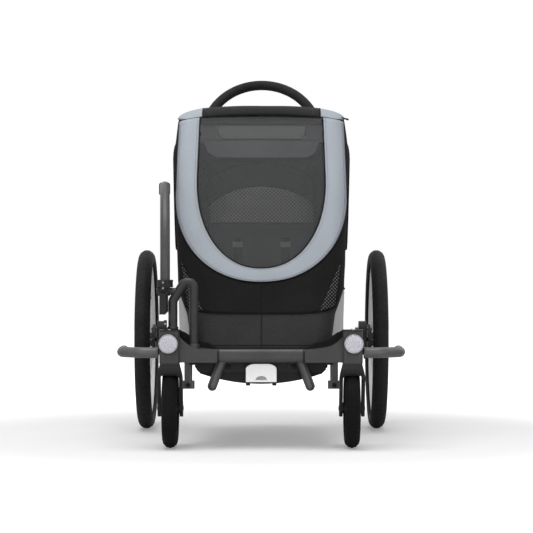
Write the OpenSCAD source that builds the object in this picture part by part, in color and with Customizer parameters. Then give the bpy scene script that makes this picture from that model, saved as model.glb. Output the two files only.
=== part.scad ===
// Child bicycle trailer, single seat, with two swivelling front wheels, a drawbar stored upright
// and a folding upper frame. Millimetres, +Z up, the front faces -Y, the origin is on the ground
// under the middle of the trailer.

/* [Wheels] */
// Outer diameter of a rear wheel
rear_d = 500; // [460:5:540]
// Width of a rear tyre
tyre_w = 43; // [36:1:47]
// Distance between the middles of the two rear wheels
rear_track = 644; // [636:2:680]
// Distance from the castor axle to the rear axle
wheelbase = 629; // [615:1:660]
// Outer diameter of a castor wheel
castor_d = 200; // [190:2:202]
// Width of a castor tyre
castor_tyre_w = 38; // [36:1:40]
// Distance between the two steering axes
castor_track = 454; // [448:1:470]
// Distance of a castor axle behind its steering axis
castor_trail = 38; // [30:1:40]
// Number of spokes in a rear wheel
spoke_count = 20; // [12:2:28]

/* [Front bar] */
// Height of the middle of the crossbar above the ground
bar_z = 232.5; // [230:0.5:240]
// Height of the crossbar's section
bar_h = 33; // [28:1:36]
// Depth of the crossbar's section
bar_depth = 30; // [26:1:36]
// Half length of the middle piece of the crossbar
bar_half = 107; // [95:1:115]
// Diameter of the wheel guard tubes
guard_d = 26.5; // [22:0.5:30]
// Distance over the two wheel guards
guard_span = 724; // [716:1:740]
// Diameter of a lamp lens
lamp_d = 48; // [40:1:50]

/* [Cabin] */
// Largest width of the cabin
cabin_w = 466; // [450:1:470]
// Width of the cabin at its lower edge
cabin_low_w = 424; // [416:1:430]
// Height of the eaves, where the roof begins
eaves_z = 850; // [840:1:860]
// Rise of the roof over the eaves
roof_rise = 36; // [28:1:42]
// Length of the roof from its front edge to its back edge
roof_l = 288; // [270:1:300]
// How far the front face runs forward from the eaves to its foot
front_run = 320; // [300:1:325]
// Thickness of the fabric panels
cloth_t = 1.6; // [1.2:0.1:2]
// Height of the seam over the lower front panel
seam_z = 335; // [325:1:345]

/* [Upper frame] */
// Distance between the two upright posts
post_gap = 356; // [350:1:362]
// Diameter of a post
post_d = 26; // [22:0.5:28]
// Height of the fold hinge
fold_z = 330; // [322:1:335]
// Height of the handlebar hubs
hub_z = 823; // [815:1:826]
// Distance between the handlebar's two ends
handle_gap = 314; // [308:1:316]
// Diameter of the handlebar's foam grip
grip_d = 27; // [25:0.5:30]
// Tilt of the handlebar to the back in degrees
handle_tilt = 25; // [18:1:30]
// Diameter of the canopy bow
bow_d = 18; // [14:0.5:20]

/* [Drawbar] */
// Distance of the drawbar from the middle plane
drawbar_x = 238.5; // [238:0.5:242]
// Diameter of the drawbar tube
drawbar_d = 24.5; // [23:0.5:26]
// Height of the drawbar's fold axis
drawbar_z = 392; // [391:1:396]
// Height of the straight upper run of the drawbar
drawbar_top_z = 662; // [640:1:670]
// Angle by which the stored drawbar points outwards
drawbar_yaw = 3; // [2.5:0.5:6]
// Radius of the drawbar's bend
drawbar_bend = 215; // [180:1:225]
// Length of the straight upper run
drawbar_run = 180; // [150:1:190]

/* [Fits] */
// Radial clearance of a running fit
running = 0.05; // [0.03:0.01:0.08]
// Gap between soft pieces and their neighbours
soft_gap = 0.4; // [0.3:0.1:0.6]
// Gap between rigid pieces that move past each other
move_gap = 0.5; // [0.4:0.1:0.8]

/* [Hidden] */
$fn = 48;

// Places along the trailer, so that the whole is centred on the origin
rear_r = rear_d / 2;
castor_r = castor_d / 2;
overall_l = wheelbase + rear_r + castor_r;
rear_y = overall_l / 2 - rear_r;
castor_y = rear_y - wheelbase;
steer_y = castor_y - castor_trail;
wheel_x = rear_track / 2;
steer_x = castor_track / 2;

// Crossbar, heads and rails
bar_top = bar_z + bar_h / 2;
bar_bottom = bar_z - bar_h / 2;
bar_round = 10;
neck_l = 2.5;
bracket_x = bar_half + neck_l;
head_w = 50;
head_depth = 56;
head_bottom = bar_bottom - 2;
head_top = 293;
head_in = steer_x - head_w / 2;
head_out = steer_x + head_w / 2;
head_front = steer_y - head_depth / 2;
lid_t = 4;
lid_over = 1;
lid_top = head_top + lid_t;
bracket_depth = bar_depth + 4;
bracket_rise = 31;
bracket_run = 52;
bezel_t = 2.7;
bezel_l = 8;
lens_l = 11;
lamp_x = steer_x + 2.5;
lamp_z = 263;
steerer_r = 9;
steerer_l = 66;
rail_w = 26;
rail_x = 183;
rail_in = rail_x - rail_w / 2;
rail_top = bar_top;
rail_bottom = bar_bottom + 1;
rail_front = steer_y + bracket_depth / 2;
beam_r = 16;
axle_z = rear_r;

// Things under the floor
under_y = -290;
under_t = 10;
under_front = under_y - under_t / 2;
under_half = 165;
under_z = [185, 203, rail_bottom];
boss_x = 83;
boss_r = 13;
boss_l = 4;
foot_r = 12;
foot_y = under_front - foot_r - soft_gap;
foot_top = [101, 213];
foot_low = [124.6, 149.5];
receiver_x = 187;
receiver_y = -260;
receiver_low = 141;
receiver_size = [20, 30];
receiver_foot = [32, 36, 20];
kit_bore_r = 6;
kit_bore_l = 30;
bolt_r = 6;
bolt_l = 5;
plate_half = 39;
plate_z = [160, 210];
plate_t = 5;
plate_cut = 14;
notch_r = 16;
holder_l = 7;

// Floor tub
tub_front = under_y + under_t / 2 + 3;
tub_back = rear_y - beam_r - 20;
tub_t = 3;
tub_half = rail_in - soft_gap;
tub_low = 154;
tub_shoulder = 198;
tub_bevel = 14;
tub_r = 471;
sill_z = rail_bottom + 1;
sill_t = 4;

// Cabin surface
cabin_low_z = bar_top + soft_gap;
front_foot_y = steer_y + 7;
front_bulge = 8;
corner_r = 45;
back_corner_r = 24;
bulge_z = 750;
eaves_w = cabin_w - 22;
post_y = rear_y - 35.5;
back_y = post_y - post_d / 2 - soft_gap;
side_draw = 180;
skirt_top = 396;
roof_front = front_foot_y + front_run;
panel_top = eaves_z - 2;
rear_half = 163;
rear_low = 268;
bow_slit = hub_z - bow_d / 2 - 8;
side_start = 0.4 * (cloth_t + soft_gap) / side_draw;

// Upper frame
post_x = post_gap / 2;
eye_r = post_d / 2;
eye_w = 15;
eye_pin_r = 5;
ear_t = 5;
hub_r = 18;
hub_w = 18;
hub_pin_r = 8;
handle_x = handle_gap / 2;
handle_r = 11;
handle_eye_w = 20;
bow_x = post_x + post_d / 2 + bow_d / 2 + 1.5;
bow_eye_w = 12;
bow_front = roof_front + 25;
bow_front_z = eaves_z - 12;
bow_bend = 50;
cross_r = 10;
cross_z = hub_z - 62;
cross_y = post_y + 6;

// Drawbar
tube_r = 11.5;
tube_bend = 15;
root_x = 167;
stay_x = 219;
root_z = 262;
arch_z = 452;
stay_z = 369;
lug_r = 9;
lug_in = stay_x - (drawbar_z - stay_z) * (stay_x - root_x) / (arch_z - stay_z);
knuckle_r = 11;
knuckle_in = 12;
knuckle_out = 17.5;
pin_r = 5;
collar_low = drawbar_z + 10;
socket_low = drawbar_z + 13;
socket_top = drawbar_z + 29;
collar_r = 19.5;
coupler_l = 50;
coupler_w = 30;
hitch_r = 8;
lever_w = 16;
lever_x = drawbar_x + 5.5;
lever_l = 54;
lever_t = 6;
lever_pin_r = 1.8;
lever_ear = 4;
lever_ear_r = 4.5;

// Rear wheels
hub_inner = 24;
hub_outer = 19;
hub_len = [wheel_x - hub_inner, wheel_x + hub_outer];
flange_inset = [9, 4];
flange_t = 4;
flange_x = [hub_len[0] + flange_inset[0], hub_len[1] - flange_inset[1]];
flange_r = 34;
hub_body_r = 19;
disc_r = 42;
disc_t = 6;
stub_r = 6;
stub_end = hub_len[1] - 10;
brake_hole_n = 12;
brake_pitch = 30;
brake_r = 4;
brake_travel = 6;
button_r = 8;
button_l = 9;
button_gap = 0.2;
rim_depth = 20;
rim_out = rear_r - 34;
rim_in = rim_out - rim_depth;
rim_half = 12;
spoke_r = 1.25;
carrier_gap = 4;
carrier_t = 22;
carrier_x = [hub_len[0] - carrier_gap - carrier_t, hub_len[0] - carrier_gap];
carrier_r = 30;

beam_half = carrier_x[0];

// Castors
fork_gap = castor_tyre_w + 9;
leg_t = 8;
fork_half = fork_gap / 2 + leg_t;
crown_half = 24.5;
crown_low = 183;
crown_depth = [30, 30];
leg_r = 21;
castor_pin_r = 5;
castor_rim_r = castor_r - 37;
castor_hub_r = 14;

// Seat
seat_front = -150;
seat_back = 140;
seat_half = 155;
pan_top = 275;
pan_t = 6;

function unit(v) = v / norm(v);

// Half width of the cabin at a height
function side_x(z) = lookup(z, [
    [cabin_low_z, cabin_low_w / 2],
    [bulge_z, cabin_w / 2],
    [eaves_z, eaves_w / 2]
]);
// Half width of the front face at a height: it draws in towards the castors
function front_x(z) = side_x(z) - lookup(z, [
    [cabin_low_z, 40],
    [seam_z, 30],
    [skirt_top, 18],
    [580, 5],
    [eaves_z, 2]
]);
function rise(z) = (z - cabin_low_z) / (eaves_z - cabin_low_z);
function front_y(z) = front_foot_y + front_run * rise(z) - front_bulge * sin(180 * rise(z));
// A point of the front face, moved in by a depth
function front_pt(x, z, in) =
    let(e = front_x(z) - corner_r)
    let(d = max(0, min(corner_r, abs(x) - e)))
    [x * (front_x(z) - in) / front_x(z), front_y(z) + corner_r - sqrt(corner_r * corner_r - d * d) + in, z];
// A point of a side face: v runs from the front corner to the back corner
function side_pt(v, z, in, end_x) =
    let(y0 = front_y(z) + corner_r, y2 = back_y - back_corner_r)
    let(y1 = min(y0 + side_draw, y2 - 20))
    v < 0.4 ? [front_x(z) + (side_x(z) - front_x(z)) * v / 0.4 - in, y0 + (y1 - y0) * v / 0.4, z] :
    v < 0.8 ? [side_x(z) - in, y1 + (y2 - y1) * (v - 0.4) / 0.4, z] :
    let(run = side_wrap(z, end_x) * (v - 0.8) / 0.2, c = side_x(z) - back_corner_r, r = back_corner_r - in)
    run < quarter ? [c + r * cos(90 * run / quarter), y2 + r * sin(90 * run / quarter), z] :
    [c - (run - quarter), y2 + r, z];
// Length of cloth round the back corner: up to the back panel, but short beside the bow's arms
quarter = back_corner_r * PI / 2;
function side_wrap(z, end_x) = lookup(z, [
    [bow_slit - 30, quarter + side_x(z) - back_corner_r - end_x],
    [bow_slit, quarter / 2]
]);

// Closed shell between an outer and an inner grid; rows go up and columns go right, seen from outside
module shell(outer, inner) {
    rows = len(outer);
    cols = len(outer[0]);
    size = rows * cols;
    function at(i, j, k) = k * size + i * cols + j;
    function quad(a, b, c, d) = [[a, b, c], [a, c, d]];
    function flat(list) = [for (group = list, item = group) item];
    skins = flat([for (i = [0:rows - 2], j = [0:cols - 2]) concat(
        quad(at(i, j, 0), at(i + 1, j, 0), at(i + 1, j + 1, 0), at(i, j + 1, 0)),
        quad(at(i, j, 1), at(i, j + 1, 1), at(i + 1, j + 1, 1), at(i + 1, j, 1)))]);
    ends = flat([for (j = [0:cols - 2]) concat(
        quad(at(0, j, 0), at(0, j + 1, 0), at(0, j + 1, 1), at(0, j, 1)),
        quad(at(rows - 1, j + 1, 0), at(rows - 1, j, 0), at(rows - 1, j, 1), at(rows - 1, j + 1, 1)))]);
    sides = flat([for (i = [0:rows - 2]) concat(
        quad(at(i + 1, 0, 0), at(i, 0, 0), at(i, 0, 1), at(i + 1, 0, 1)),
        quad(at(i, cols - 1, 0), at(i + 1, cols - 1, 0), at(i + 1, cols - 1, 1), at(i, cols - 1, 1)))]);
    polyhedron(concat(flat(outer), flat(inner)), concat(skins, ends, sides), convexity = 6);
}

// Rounded rectangle outline
module rounded(w, h, r) {
    square([w - 2 * r, h], center = true);
    square([w, h - 2 * r], center = true);
    for (sx = [-1, 1], sy = [-1, 1])
        translate([sx * (w / 2 - r), sy * (h / 2 - r)]) circle(r);
}

// Flat bar outline with round ends of two radii
module link(p, q, rp, rq) {
    n = unit([p.y - q.y, q.x - p.x]);
    polygon([p + n * rp, q + n * rq, q - n * rq, p - n * rp]);
    translate(p) circle(rp);
    translate(q) circle(rq);
}

// Cylinder along X from x0 to x1
module rod_x(x0, x1, r, y = 0, z = 0)
    translate([min(x0, x1), y, z]) rotate([0, 90, 0]) cylinder(h = abs(x1 - x0), r = r);

// Cylinder along Y from y0 to y1
module rod_y(y0, y1, r, x = 0, z = 0)
    translate([x, max(y0, y1), z]) rotate([90, 0, 0]) cylinder(h = abs(y1 - y0), r = r);

// Box from one corner to the other
module block(a, b)
    translate([min(a.x, b.x), min(a.y, b.y), min(a.z, b.z)])
        cube([abs(b.x - a.x), abs(b.y - a.y), abs(b.z - a.z)]);

// Outline in the YZ plane, drawn with y to the right and z up, given a thickness along X
module plate_x(x0, x1)
    translate([min(x0, x1), 0, 0]) rotate([90, 0, 90]) linear_extrude(abs(x1 - x0)) children();

// Outline in the XZ plane given a thickness along Y
module plate_y(y0, y1)
    translate([0, max(y0, y1), 0]) rotate([90, 0, 0]) linear_extrude(abs(y1 - y0)) children();

// Round bar bent in the XY plane along points, with one bend radius
module bent_rod(p, r, bend) {
    last = len(p) - 1;
    function heading(i) = atan2(p[i + 1].y - p[i].y, p[i + 1].x - p[i].x);
    function swing(i) = let(t = heading(i) - heading(i - 1)) t > 180 ? t - 360 : t < -180 ? t + 360 : t;
    function cut(i) = i == 0 || i == last ? 0 : bend * tan(abs(swing(i)) / 2);
    for (i = [0:last - 1])
        translate(p[i]) rotate([0, 0, heading(i)]) translate([cut(i), 0, 0]) rotate([0, 90, 0])
            cylinder(h = norm(p[i + 1] - p[i]) - cut(i) - cut(i + 1), r = r);
    for (i = [1:last - 1]) {
        side = sign(swing(i));
        start = p[i] - cut(i) * [cos(heading(i - 1)), sin(heading(i - 1))];
        centre = start + side * bend * [-sin(heading(i - 1)), cos(heading(i - 1))];
        from = side > 0 ? heading(i - 1) - 90 : heading(i) + 90;
        translate(centre) rotate([0, 0, from]) rotate_extrude(angle = abs(swing(i)))
            translate([bend, 0]) circle(r);
    }
}

// Points of a flat route with its corners rounded
bend_steps = 6;
function rounded_route(p, bend) = concat([p[0]], [for (i = [1:len(p) - 2])
    let(a = unit(p[i - 1] - p[i]), b = unit(p[i + 1] - p[i]), half = acos(a * b) / 2)
    let(c = p[i] + unit(a + b) * bend / sin(half), s = p[i] + a * bend / tan(half))
    let(v = unit(s - c))
    for (k = [0:bend_steps]) let(t = (180 - 2 * half) * k / bend_steps) c + bend * (v * cos(t) - a * sin(t))],
    [p[len(p) - 1]]);
// Round bar along a flat route in the XY plane, as one closed skin
tube_sides = 16;
module route_rod(p, r, bend) {
    path = rounded_route(p, bend);
    last = len(path) - 1;
    function ring(i) = let(d = unit(path[min(i + 1, last)] - path[max(i - 1, 0)]))
        [for (k = [0:tube_sides - 1]) let(t = 360 * k / tube_sides)
            [path[i].x + r * cos(t) * d.y, path[i].y - r * cos(t) * d.x, r * sin(t)]];
    points = [for (i = [0:last], q = ring(i)) q];
    function at(i, k) = i * tube_sides + (k + tube_sides) % tube_sides;
    polyhedron(points, concat(
        [[for (k = [tube_sides - 1:-1:0]) k]],
        [[for (k = [0:tube_sides - 1]) at(last, k)]],
        [for (i = [0:last - 1], k = [0:tube_sides - 1]) [at(i, k), at(i + 1, k + 1), at(i + 1, k)]],
        [for (i = [0:last - 1], k = [0:tube_sides - 1]) [at(i, k), at(i, k + 1), at(i + 1, k + 1)]]), convexity = 6);
}

// Puts a left-hand piece on its side: -1 is the left of the picture, 1 the right
module on_side(side)
    if (side < 0) mirror([1, 0, 0]) children();
    else children();

// Middle piece of the crossbar with a narrow neck at each end
module front_crossbar() color("#484848") {
    translate([-bar_half, steer_y, bar_z]) rotate([90, 0, 90]) linear_extrude(2 * bar_half)
        rounded(bar_depth, bar_h, bar_round);
    for (x = [-bracket_x, bar_half])
        translate([x, steer_y, bar_z]) rotate([90, 0, 90]) linear_extrude(neck_l)
            rounded(bar_depth - 6, bar_h - 6, bar_round - 3);
}

// Cast arm and castor head with the steering bore, made for the right side
module castor_head() {
    top = [for (k = [0:8]) let(x = head_in - bracket_run * (8 - k) / 8)
        [x, bar_top + bracket_rise * pow((x - head_in + bracket_run) / bracket_run, 2)]];
    difference() {
        union() {
            plate_y(steer_y - bracket_depth / 2, steer_y + bracket_depth / 2)
                polygon(concat([[bracket_x, bar_top], [bracket_x, bar_bottom], [head_in + 2, bar_bottom],
                    [head_in + 2, bar_top + bracket_rise]], [for (k = [8:-1:0]) top[k]]));
            translate([steer_x, steer_y, head_bottom]) linear_extrude(head_top - head_bottom)
                rounded(head_w, head_depth, 9);
            rod_y(head_front - bezel_l, head_front + 2, lamp_d / 2 + bezel_t, lamp_x, lamp_z);
        }
        translate([steer_x, steer_y, head_bottom - 1]) cylinder(h = steerer_l + 6, r = steerer_r + running);
        rod_y(head_front - bezel_l - 1, head_front, lamp_d / 2 + soft_gap, lamp_x, lamp_z);
    }
}

module castor_head_left() color("#3d3d3d") {
    on_side(-1) castor_head();
    translate([-root_x, steer_y, bar_z]) cylinder(h = root_z - bar_z, r = tube_r + 2.5);
}
module castor_head_right() color("#3d3d3d") castor_head();

// Flat lids on top of the two heads
module head_lids() color("#1c1c1c")
    for (side = [-1, 1])
        translate([side * steer_x, steer_y, head_top]) linear_extrude(lid_t)
            rounded(head_w + 2 * lid_over, head_depth + 2 * lid_over, 10);

// Round lamp lenses with a domed front, seated in the heads' bezels
module front_lamps() color("#c4c4cc")
    for (side = [-1, 1])
        translate([side * lamp_x, head_front, lamp_z]) rotate([90, 0, 0]) {
            cylinder(h = lens_l - 3, r = lamp_d / 2);
            translate([0, 0, lens_l - 3]) cylinder(h = 3, r1 = lamp_d / 2, r2 = lamp_d / 2 - 4);
        }

// Bent tubes beside the heads that keep the castors off walls and kerbs
guard_x = guard_span / 2 - guard_d / 2;
guard_l = 105;
guard_out = 45;
guard_bend = 34;
guard_z = bar_z + 7.5;
guard_start_y = steer_y - 4;
guard_tip_y = steer_y + guard_l;
module wheel_guards() color("#4c4c4c")
    for (side = [-1, 1])
        translate([0, 0, guard_z]) on_side(side)
            route_rod([[head_out, guard_start_y], [head_out + guard_out, guard_start_y],
                [guard_x, steer_y + guard_out], [guard_x, guard_tip_y]], guard_d / 2, guard_bend);

// Plugs in the open ends of the guards
module tube_caps() color("#161616")
    for (side = [-1, 1])
        rod_y(guard_tip_y, guard_tip_y + 9, guard_d / 2 + 0.6, side * guard_x, guard_z);

// Two rails from the cast arms to the rear axle beam
module side_rails() color("#2b2b2b")
    for (side = [-1, 1])
        difference() {
            translate([side * rail_x, 0, (rail_top + rail_bottom) / 2]) rotate([-90, 0, 0])
                translate([0, 0, rail_front]) linear_extrude(rear_y - rail_front)
                    rounded(rail_w, rail_top - rail_bottom, 5);
            rod_x(-beam_half, beam_half, beam_r + running, rear_y, axle_z);
        }

// Plate under the floor that carries the stand feet and the reflector
module under_beam() color("#3a3a3a") {
    block([-rail_x, under_front, under_z[1]], [rail_x, under_y + under_t / 2, under_z[2]]);
    plate_y(under_front, under_y + under_t / 2)
        polygon([[-under_half, under_z[1] + 2], [-under_half, under_z[0] + 6], [-under_half + 6, under_z[0]],
            [under_half - 6, under_z[0]], [under_half, under_z[0] + 6], [under_half, under_z[1] + 2]]);
    for (side = [-1, 1])
        rod_y(under_front - boss_l, under_y, boss_r, side * boss_x, under_z[0] + 14);
    block([-plate_half + 4, under_front - holder_l, plate_z[1] - 6], [plate_half - 4, under_y, plate_z[1] + 2]);
}

// Two short stand tubes that lean outwards, with round ends
foot_lean = -atan2(foot_low.x - foot_top.x, foot_top.y - foot_low.y);
module stand_feet() color("#555555")
    for (side = [-1, 1])
        on_side(side) translate([foot_low.x, foot_y, foot_low.y]) rotate([0, foot_lean, 0]) {
            cylinder(h = norm(foot_top - foot_low), r = foot_r);
            sphere(foot_r);
        }

// Hanging brackets with a foot block that take a jogging or ski kit
module kit_receivers() color("#303030")
    for (side = [-1, 1])
        difference() {
            union() {
                translate([side * receiver_x, receiver_y, receiver_low + 4]) linear_extrude(rail_bottom - receiver_low - 4)
                    rounded(receiver_size.x, receiver_size.y, 4);
                translate([side * receiver_x, receiver_y, receiver_low]) linear_extrude(receiver_foot.z)
                    rounded(receiver_foot.x, receiver_foot.y, 6);
            }
            translate([side * receiver_x, receiver_y, receiver_low - 1]) cylinder(h = kit_bore_l + 1, r = kit_bore_r);
        }

// Bolt heads on the front of the receivers
module receiver_bolts() color("#8a8a8a")
    for (side = [-1, 1])
        rod_y(receiver_y - receiver_foot.y / 2 - bolt_l, receiver_y - receiver_foot.y / 2, bolt_r,
            side * receiver_x, receiver_low + receiver_foot.z / 2);

// White plate with cut top corners and a half-moon recess
module reflector_plate() color("#f0f0f0") {
    front = under_front - holder_l;
    difference() {
        plate_y(front - plate_t, front)
            polygon([[-plate_half, plate_z[0]], [plate_half, plate_z[0]], [plate_half, plate_z[1] - plate_cut],
                [plate_half - 1.5 * plate_cut, plate_z[1]], [-plate_half + 1.5 * plate_cut, plate_z[1]],
                [-plate_half, plate_z[1] - plate_cut]]);
        intersection() {
            rod_y(front - plate_t - 1, front - plate_t + 2, notch_r, 0, plate_z[0] + 22);
            block([-notch_r, front - plate_t - 1, plate_z[0] + 10], [notch_r, front, plate_z[0] + 22]);
        }
    }
}

// Moulded floor: a deep round-bottomed well behind the castors and a flat sill in front
tub_arc = asin((tub_half - tub_bevel) / tub_r);
function tub_line(in) = concat(
    [[-tub_half + in, rail_top], [-tub_half + in, tub_shoulder]],
    [for (k = [0:16]) let(a = -tub_arc + 2 * tub_arc * k / 16)
        [(tub_r - in) * sin(a), tub_low + tub_r - (tub_r - in) * cos(a)]],
    [[tub_half - in, tub_shoulder], [tub_half - in, rail_top]]);
module floor_tub() color("#1a1a1a") {
    inner = tub_line(tub_t);
    plate_y(tub_front, tub_back)
        polygon(concat(tub_line(0), [for (k = [len(inner) - 1:-1:0]) inner[k]]));
    plate_y(tub_back, tub_back + tub_t) polygon(tub_line(0));
    plate_y(tub_front - tub_t, tub_front) difference() {
        polygon(tub_line(0));
        translate([-tub_half - 1, sill_z + sill_t]) square([2 * tub_half + 2, rail_top]);
    }
    block([-tub_half, rail_front + soft_gap, sill_z], [tub_half, tub_front, sill_z + sill_t]);
}

// Pressed seat pan that rests on the two rails
module seat_pan() color("#262626") {
    block([-rail_x, seat_front, pan_top - pan_t], [rail_x, seat_back, pan_top]);
    for (side = [-1, 1])
        block([side * (rail_in + 3), seat_front, rail_top], [side * rail_x, seat_back, pan_top - pan_t]);
}

// Round beam between the axle carriers, with two lugs for the brake pedal
lug_x = 46;
lug_t = 6;
pedal_y = rear_y + 34;
pedal_z = axle_z - 4;
pedal_pin_r = 4;
module rear_axle_beam() color("#2b2b2b") {
    rod_x(-beam_half, beam_half, beam_r, rear_y, axle_z);
    for (side = [-1, 1])
        plate_x(side * lug_x, side * (lug_x + lug_t))
            link([rear_y, axle_z], [pedal_y, pedal_z], beam_r - 4, 8);
    rod_x(-lug_x - lug_t - 2, lug_x + lug_t + 2, pedal_pin_r, pedal_y, pedal_z);
}

// Rounded brackets at the beam's ends, each with its wheel's stub axle
module axle_carriers() color("#2e2e2e")
    for (side = [-1, 1])
        on_side(side) {
            difference() {
                plate_x(carrier_x[0], carrier_x[1])
                    link([rear_y, axle_z + 21], [rear_y, axle_z - 14], carrier_r, carrier_r);
                rod_x(carrier_x[0] - 1, carrier_x[1] + 1, brake_r + running, rear_y, axle_z + brake_pitch);
            }
            rod_x(carrier_x[1] - 1, stub_end, stub_r, rear_y, axle_z);
        }

// Foot pedal of the parking brake
pedal_l = 62;
pedal_t = 8;
module brake_pedal() color("#242424") difference() {
    union() {
        rod_x(-lug_x + move_gap, lug_x - move_gap, 8, pedal_y, pedal_z);
        translate([0, pedal_y + pedal_l / 2, pedal_z - pedal_t / 2]) linear_extrude(pedal_t)
            rounded(2 * (lug_x - move_gap), pedal_l, 10);
    }
    rod_x(-lug_x, lug_x, pedal_pin_r + running, pedal_y, pedal_z);
}

// Pins that lock the rear wheels when the pedal is down
module brake_pin(side)
    on_side(side) rod_x(carrier_x[0] - 10, hub_len[0] - 1, brake_r, rear_y, axle_z + brake_pitch);
module brake_pin_left() color("#b0b0b0") brake_pin(-1);
module brake_pin_right() color("#b0b0b0") brake_pin(1);

// Clevises on the rails that hold the feet of the posts, with their hinge pins
module fold_brackets() color("#2e2e2e")
    for (side = [-1, 1])
        on_side(side) {
            for (x = [post_x - eye_w / 2 - move_gap - ear_t, post_x + eye_w / 2 + move_gap])
                plate_x(x, x + ear_t) link([post_y, fold_z], [post_y, rail_top + eye_r], eye_r, eye_r);
            block([post_x - eye_w / 2 - ear_t, post_y - eye_r, rail_top], [post_x + eye_w / 2 + ear_t, post_y + eye_r, rail_top + 8]);
            rod_x(post_x - eye_w / 2 - ear_t - 3, post_x + eye_w / 2 + ear_t + 3, eye_pin_r, post_y, fold_z);
        }

// Bent tube stay that carries the drawbar hinge
module drawbar_bracket() color("#313131")
    translate([0, steer_y, 0]) rotate([90, 0, 0])
        route_rod([[-root_x, root_z], [-root_x, arch_z], [-stay_x, stay_z], [-stay_x, lid_top]], tube_r, tube_bend);

// Lug on the stay and the pin that the drawbar folds on
lug_end = drawbar_x - knuckle_in - move_gap;
module drawbar_pin() color("#4a4a4a") {
    rod_x(-lug_in, -lug_end, lug_r, steer_y, drawbar_z);
    rod_x(-lug_end, -drawbar_x - knuckle_out - 3, pin_r, steer_y, drawbar_z);
    rod_x(-drawbar_x - knuckle_out - move_gap, -drawbar_x - knuckle_out - 4, pin_r + 4, steer_y, drawbar_z);
}

// Knuckle that turns on the pin, with the socket and collar of the drawbar
module drawbar_knuckle() color("#2a2a2a") difference() {
    union() {
        rod_x(-drawbar_x - knuckle_out, -drawbar_x + knuckle_in, knuckle_r, steer_y, drawbar_z);
        block([-drawbar_x - knuckle_in, steer_y - knuckle_r, drawbar_z],
            [-drawbar_x + knuckle_in, steer_y + knuckle_r, collar_low + 1]);
        translate([-drawbar_x, steer_y, collar_low]) cylinder(h = socket_top - collar_low, r = collar_r);
        block([-lever_x - lever_w / 2 - lever_ear, steer_y - knuckle_r - 3, drawbar_z - 8],
            [-lever_x + lever_w / 2 + lever_ear, steer_y, drawbar_z + 8]);
        for (side = [-1, 1])
            plate_x(-lever_x + side * (lever_w / 2 + move_gap), -lever_x + side * (lever_w / 2 + lever_ear))
                link([lever_y, lever_z], [steer_y - knuckle_r, lever_z], lever_ear_r, lever_ear_r);
        rod_x(-lever_x - lever_w / 2 - lever_ear, -lever_x + lever_w / 2 + lever_ear, lever_pin_r, lever_y, lever_z);
    }
    rod_x(-drawbar_x - 2 * knuckle_out, -drawbar_x + 2 * knuckle_in, pin_r + running, steer_y, drawbar_z);
    translate([-drawbar_x, steer_y, socket_low]) cylinder(h = socket_top, r = drawbar_d / 2 + running);
}

// Drawbar tube: upright, one wide bend, then a straight run to the back
drawbar_end = drawbar_bend + drawbar_run;
module stored() translate([-drawbar_x, steer_y, 0]) rotate([0, 0, drawbar_yaw]) children();
module drawbar_arm() color("#5a5a5c")
    stored() rotate([90, 0, 90])
        bent_rod([[0, socket_low + soft_gap], [0, drawbar_top_z], [drawbar_end, drawbar_top_z]],
            drawbar_d / 2, drawbar_bend);

// Coupler that drops over the hitch of the bicycle
module hitch_coupler() color("#262626") stored() difference() {
    translate([0, drawbar_end + coupler_l / 2, drawbar_top_z]) rotate([90, 0, 0])
        linear_extrude(coupler_l, center = true) rounded(coupler_w, coupler_w + 4, 7);
    translate([0, drawbar_end + coupler_l * 0.4, drawbar_top_z - coupler_w])
        cylinder(h = 2 * coupler_w, r = hitch_r);
    rod_y(drawbar_end + coupler_l - 12, drawbar_end + coupler_l + 1, button_r + button_gap, 0, drawbar_top_z);
}

// Release button in the end of the coupler
module hitch_button() color("#a02020")
    stored() rod_y(drawbar_end + coupler_l - 6, drawbar_end + coupler_l + 5, button_r, 0, drawbar_top_z);

// Safety lever that swings on a pin between the knuckle's two ears
lever_y = steer_y - knuckle_r - 3 - move_gap - lever_t / 2;
lever_z = drawbar_z - lever_t;
lever_round = lever_t / 2 - 0.05;
module drawbar_lever() color("#5c5c5c") difference() {
    translate([-lever_x, lever_y, lever_z + lever_t / 2 - lever_l / 2]) rotate([0, 90, 0])
        linear_extrude(lever_w, center = true) rounded(lever_l, lever_t, lever_round);
    rod_x(-lever_x - lever_w, -lever_x + lever_w, lever_pin_r + running, lever_y, lever_z);
}

// Window and band of the front cover follow two U curves, given by height at s = 0 to 1
u_outer = [218, 216, 640, 414];
u_inner = [166, 162, 680, 450];
u_power = 0.93;
straight_share = 0.4;
function u_curve(u, s) = s < straight_share
    ? let(k = s / straight_share) [u[1] + (u[0] - u[1]) * k, panel_top + (u[2] - panel_top) * k]
    : let(a = 90 * (s - straight_share) / (1 - straight_share))
      [u[0] * pow(cos(a), u_power), u[2] - (u[2] - u[3]) * pow(sin(a), u_power)];
// Lower rim of the cover: the seam lifts towards the corners
seam_lift = 20;
function seam(x) = seam_z + seam_lift * pow(x / front_x(seam_z), 2);
rim_share = 0.68;
function cover_rim(s) = s < rim_share
    ? let(z = panel_top + (seam(front_x(seam_z)) - panel_top) * s / rim_share) [front_x(z), z]
    : let(x = front_x(seam_z + seam_lift) * (1 - s) / (1 - rim_share)) [x, seam(x)];
// Both halves of a curve, from the left top down and up to the right top
function both(f) = concat([for (p = f) [-p.x, p.y]], [for (k = [len(f) - 2:-1:0]) f[k]]);
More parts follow.
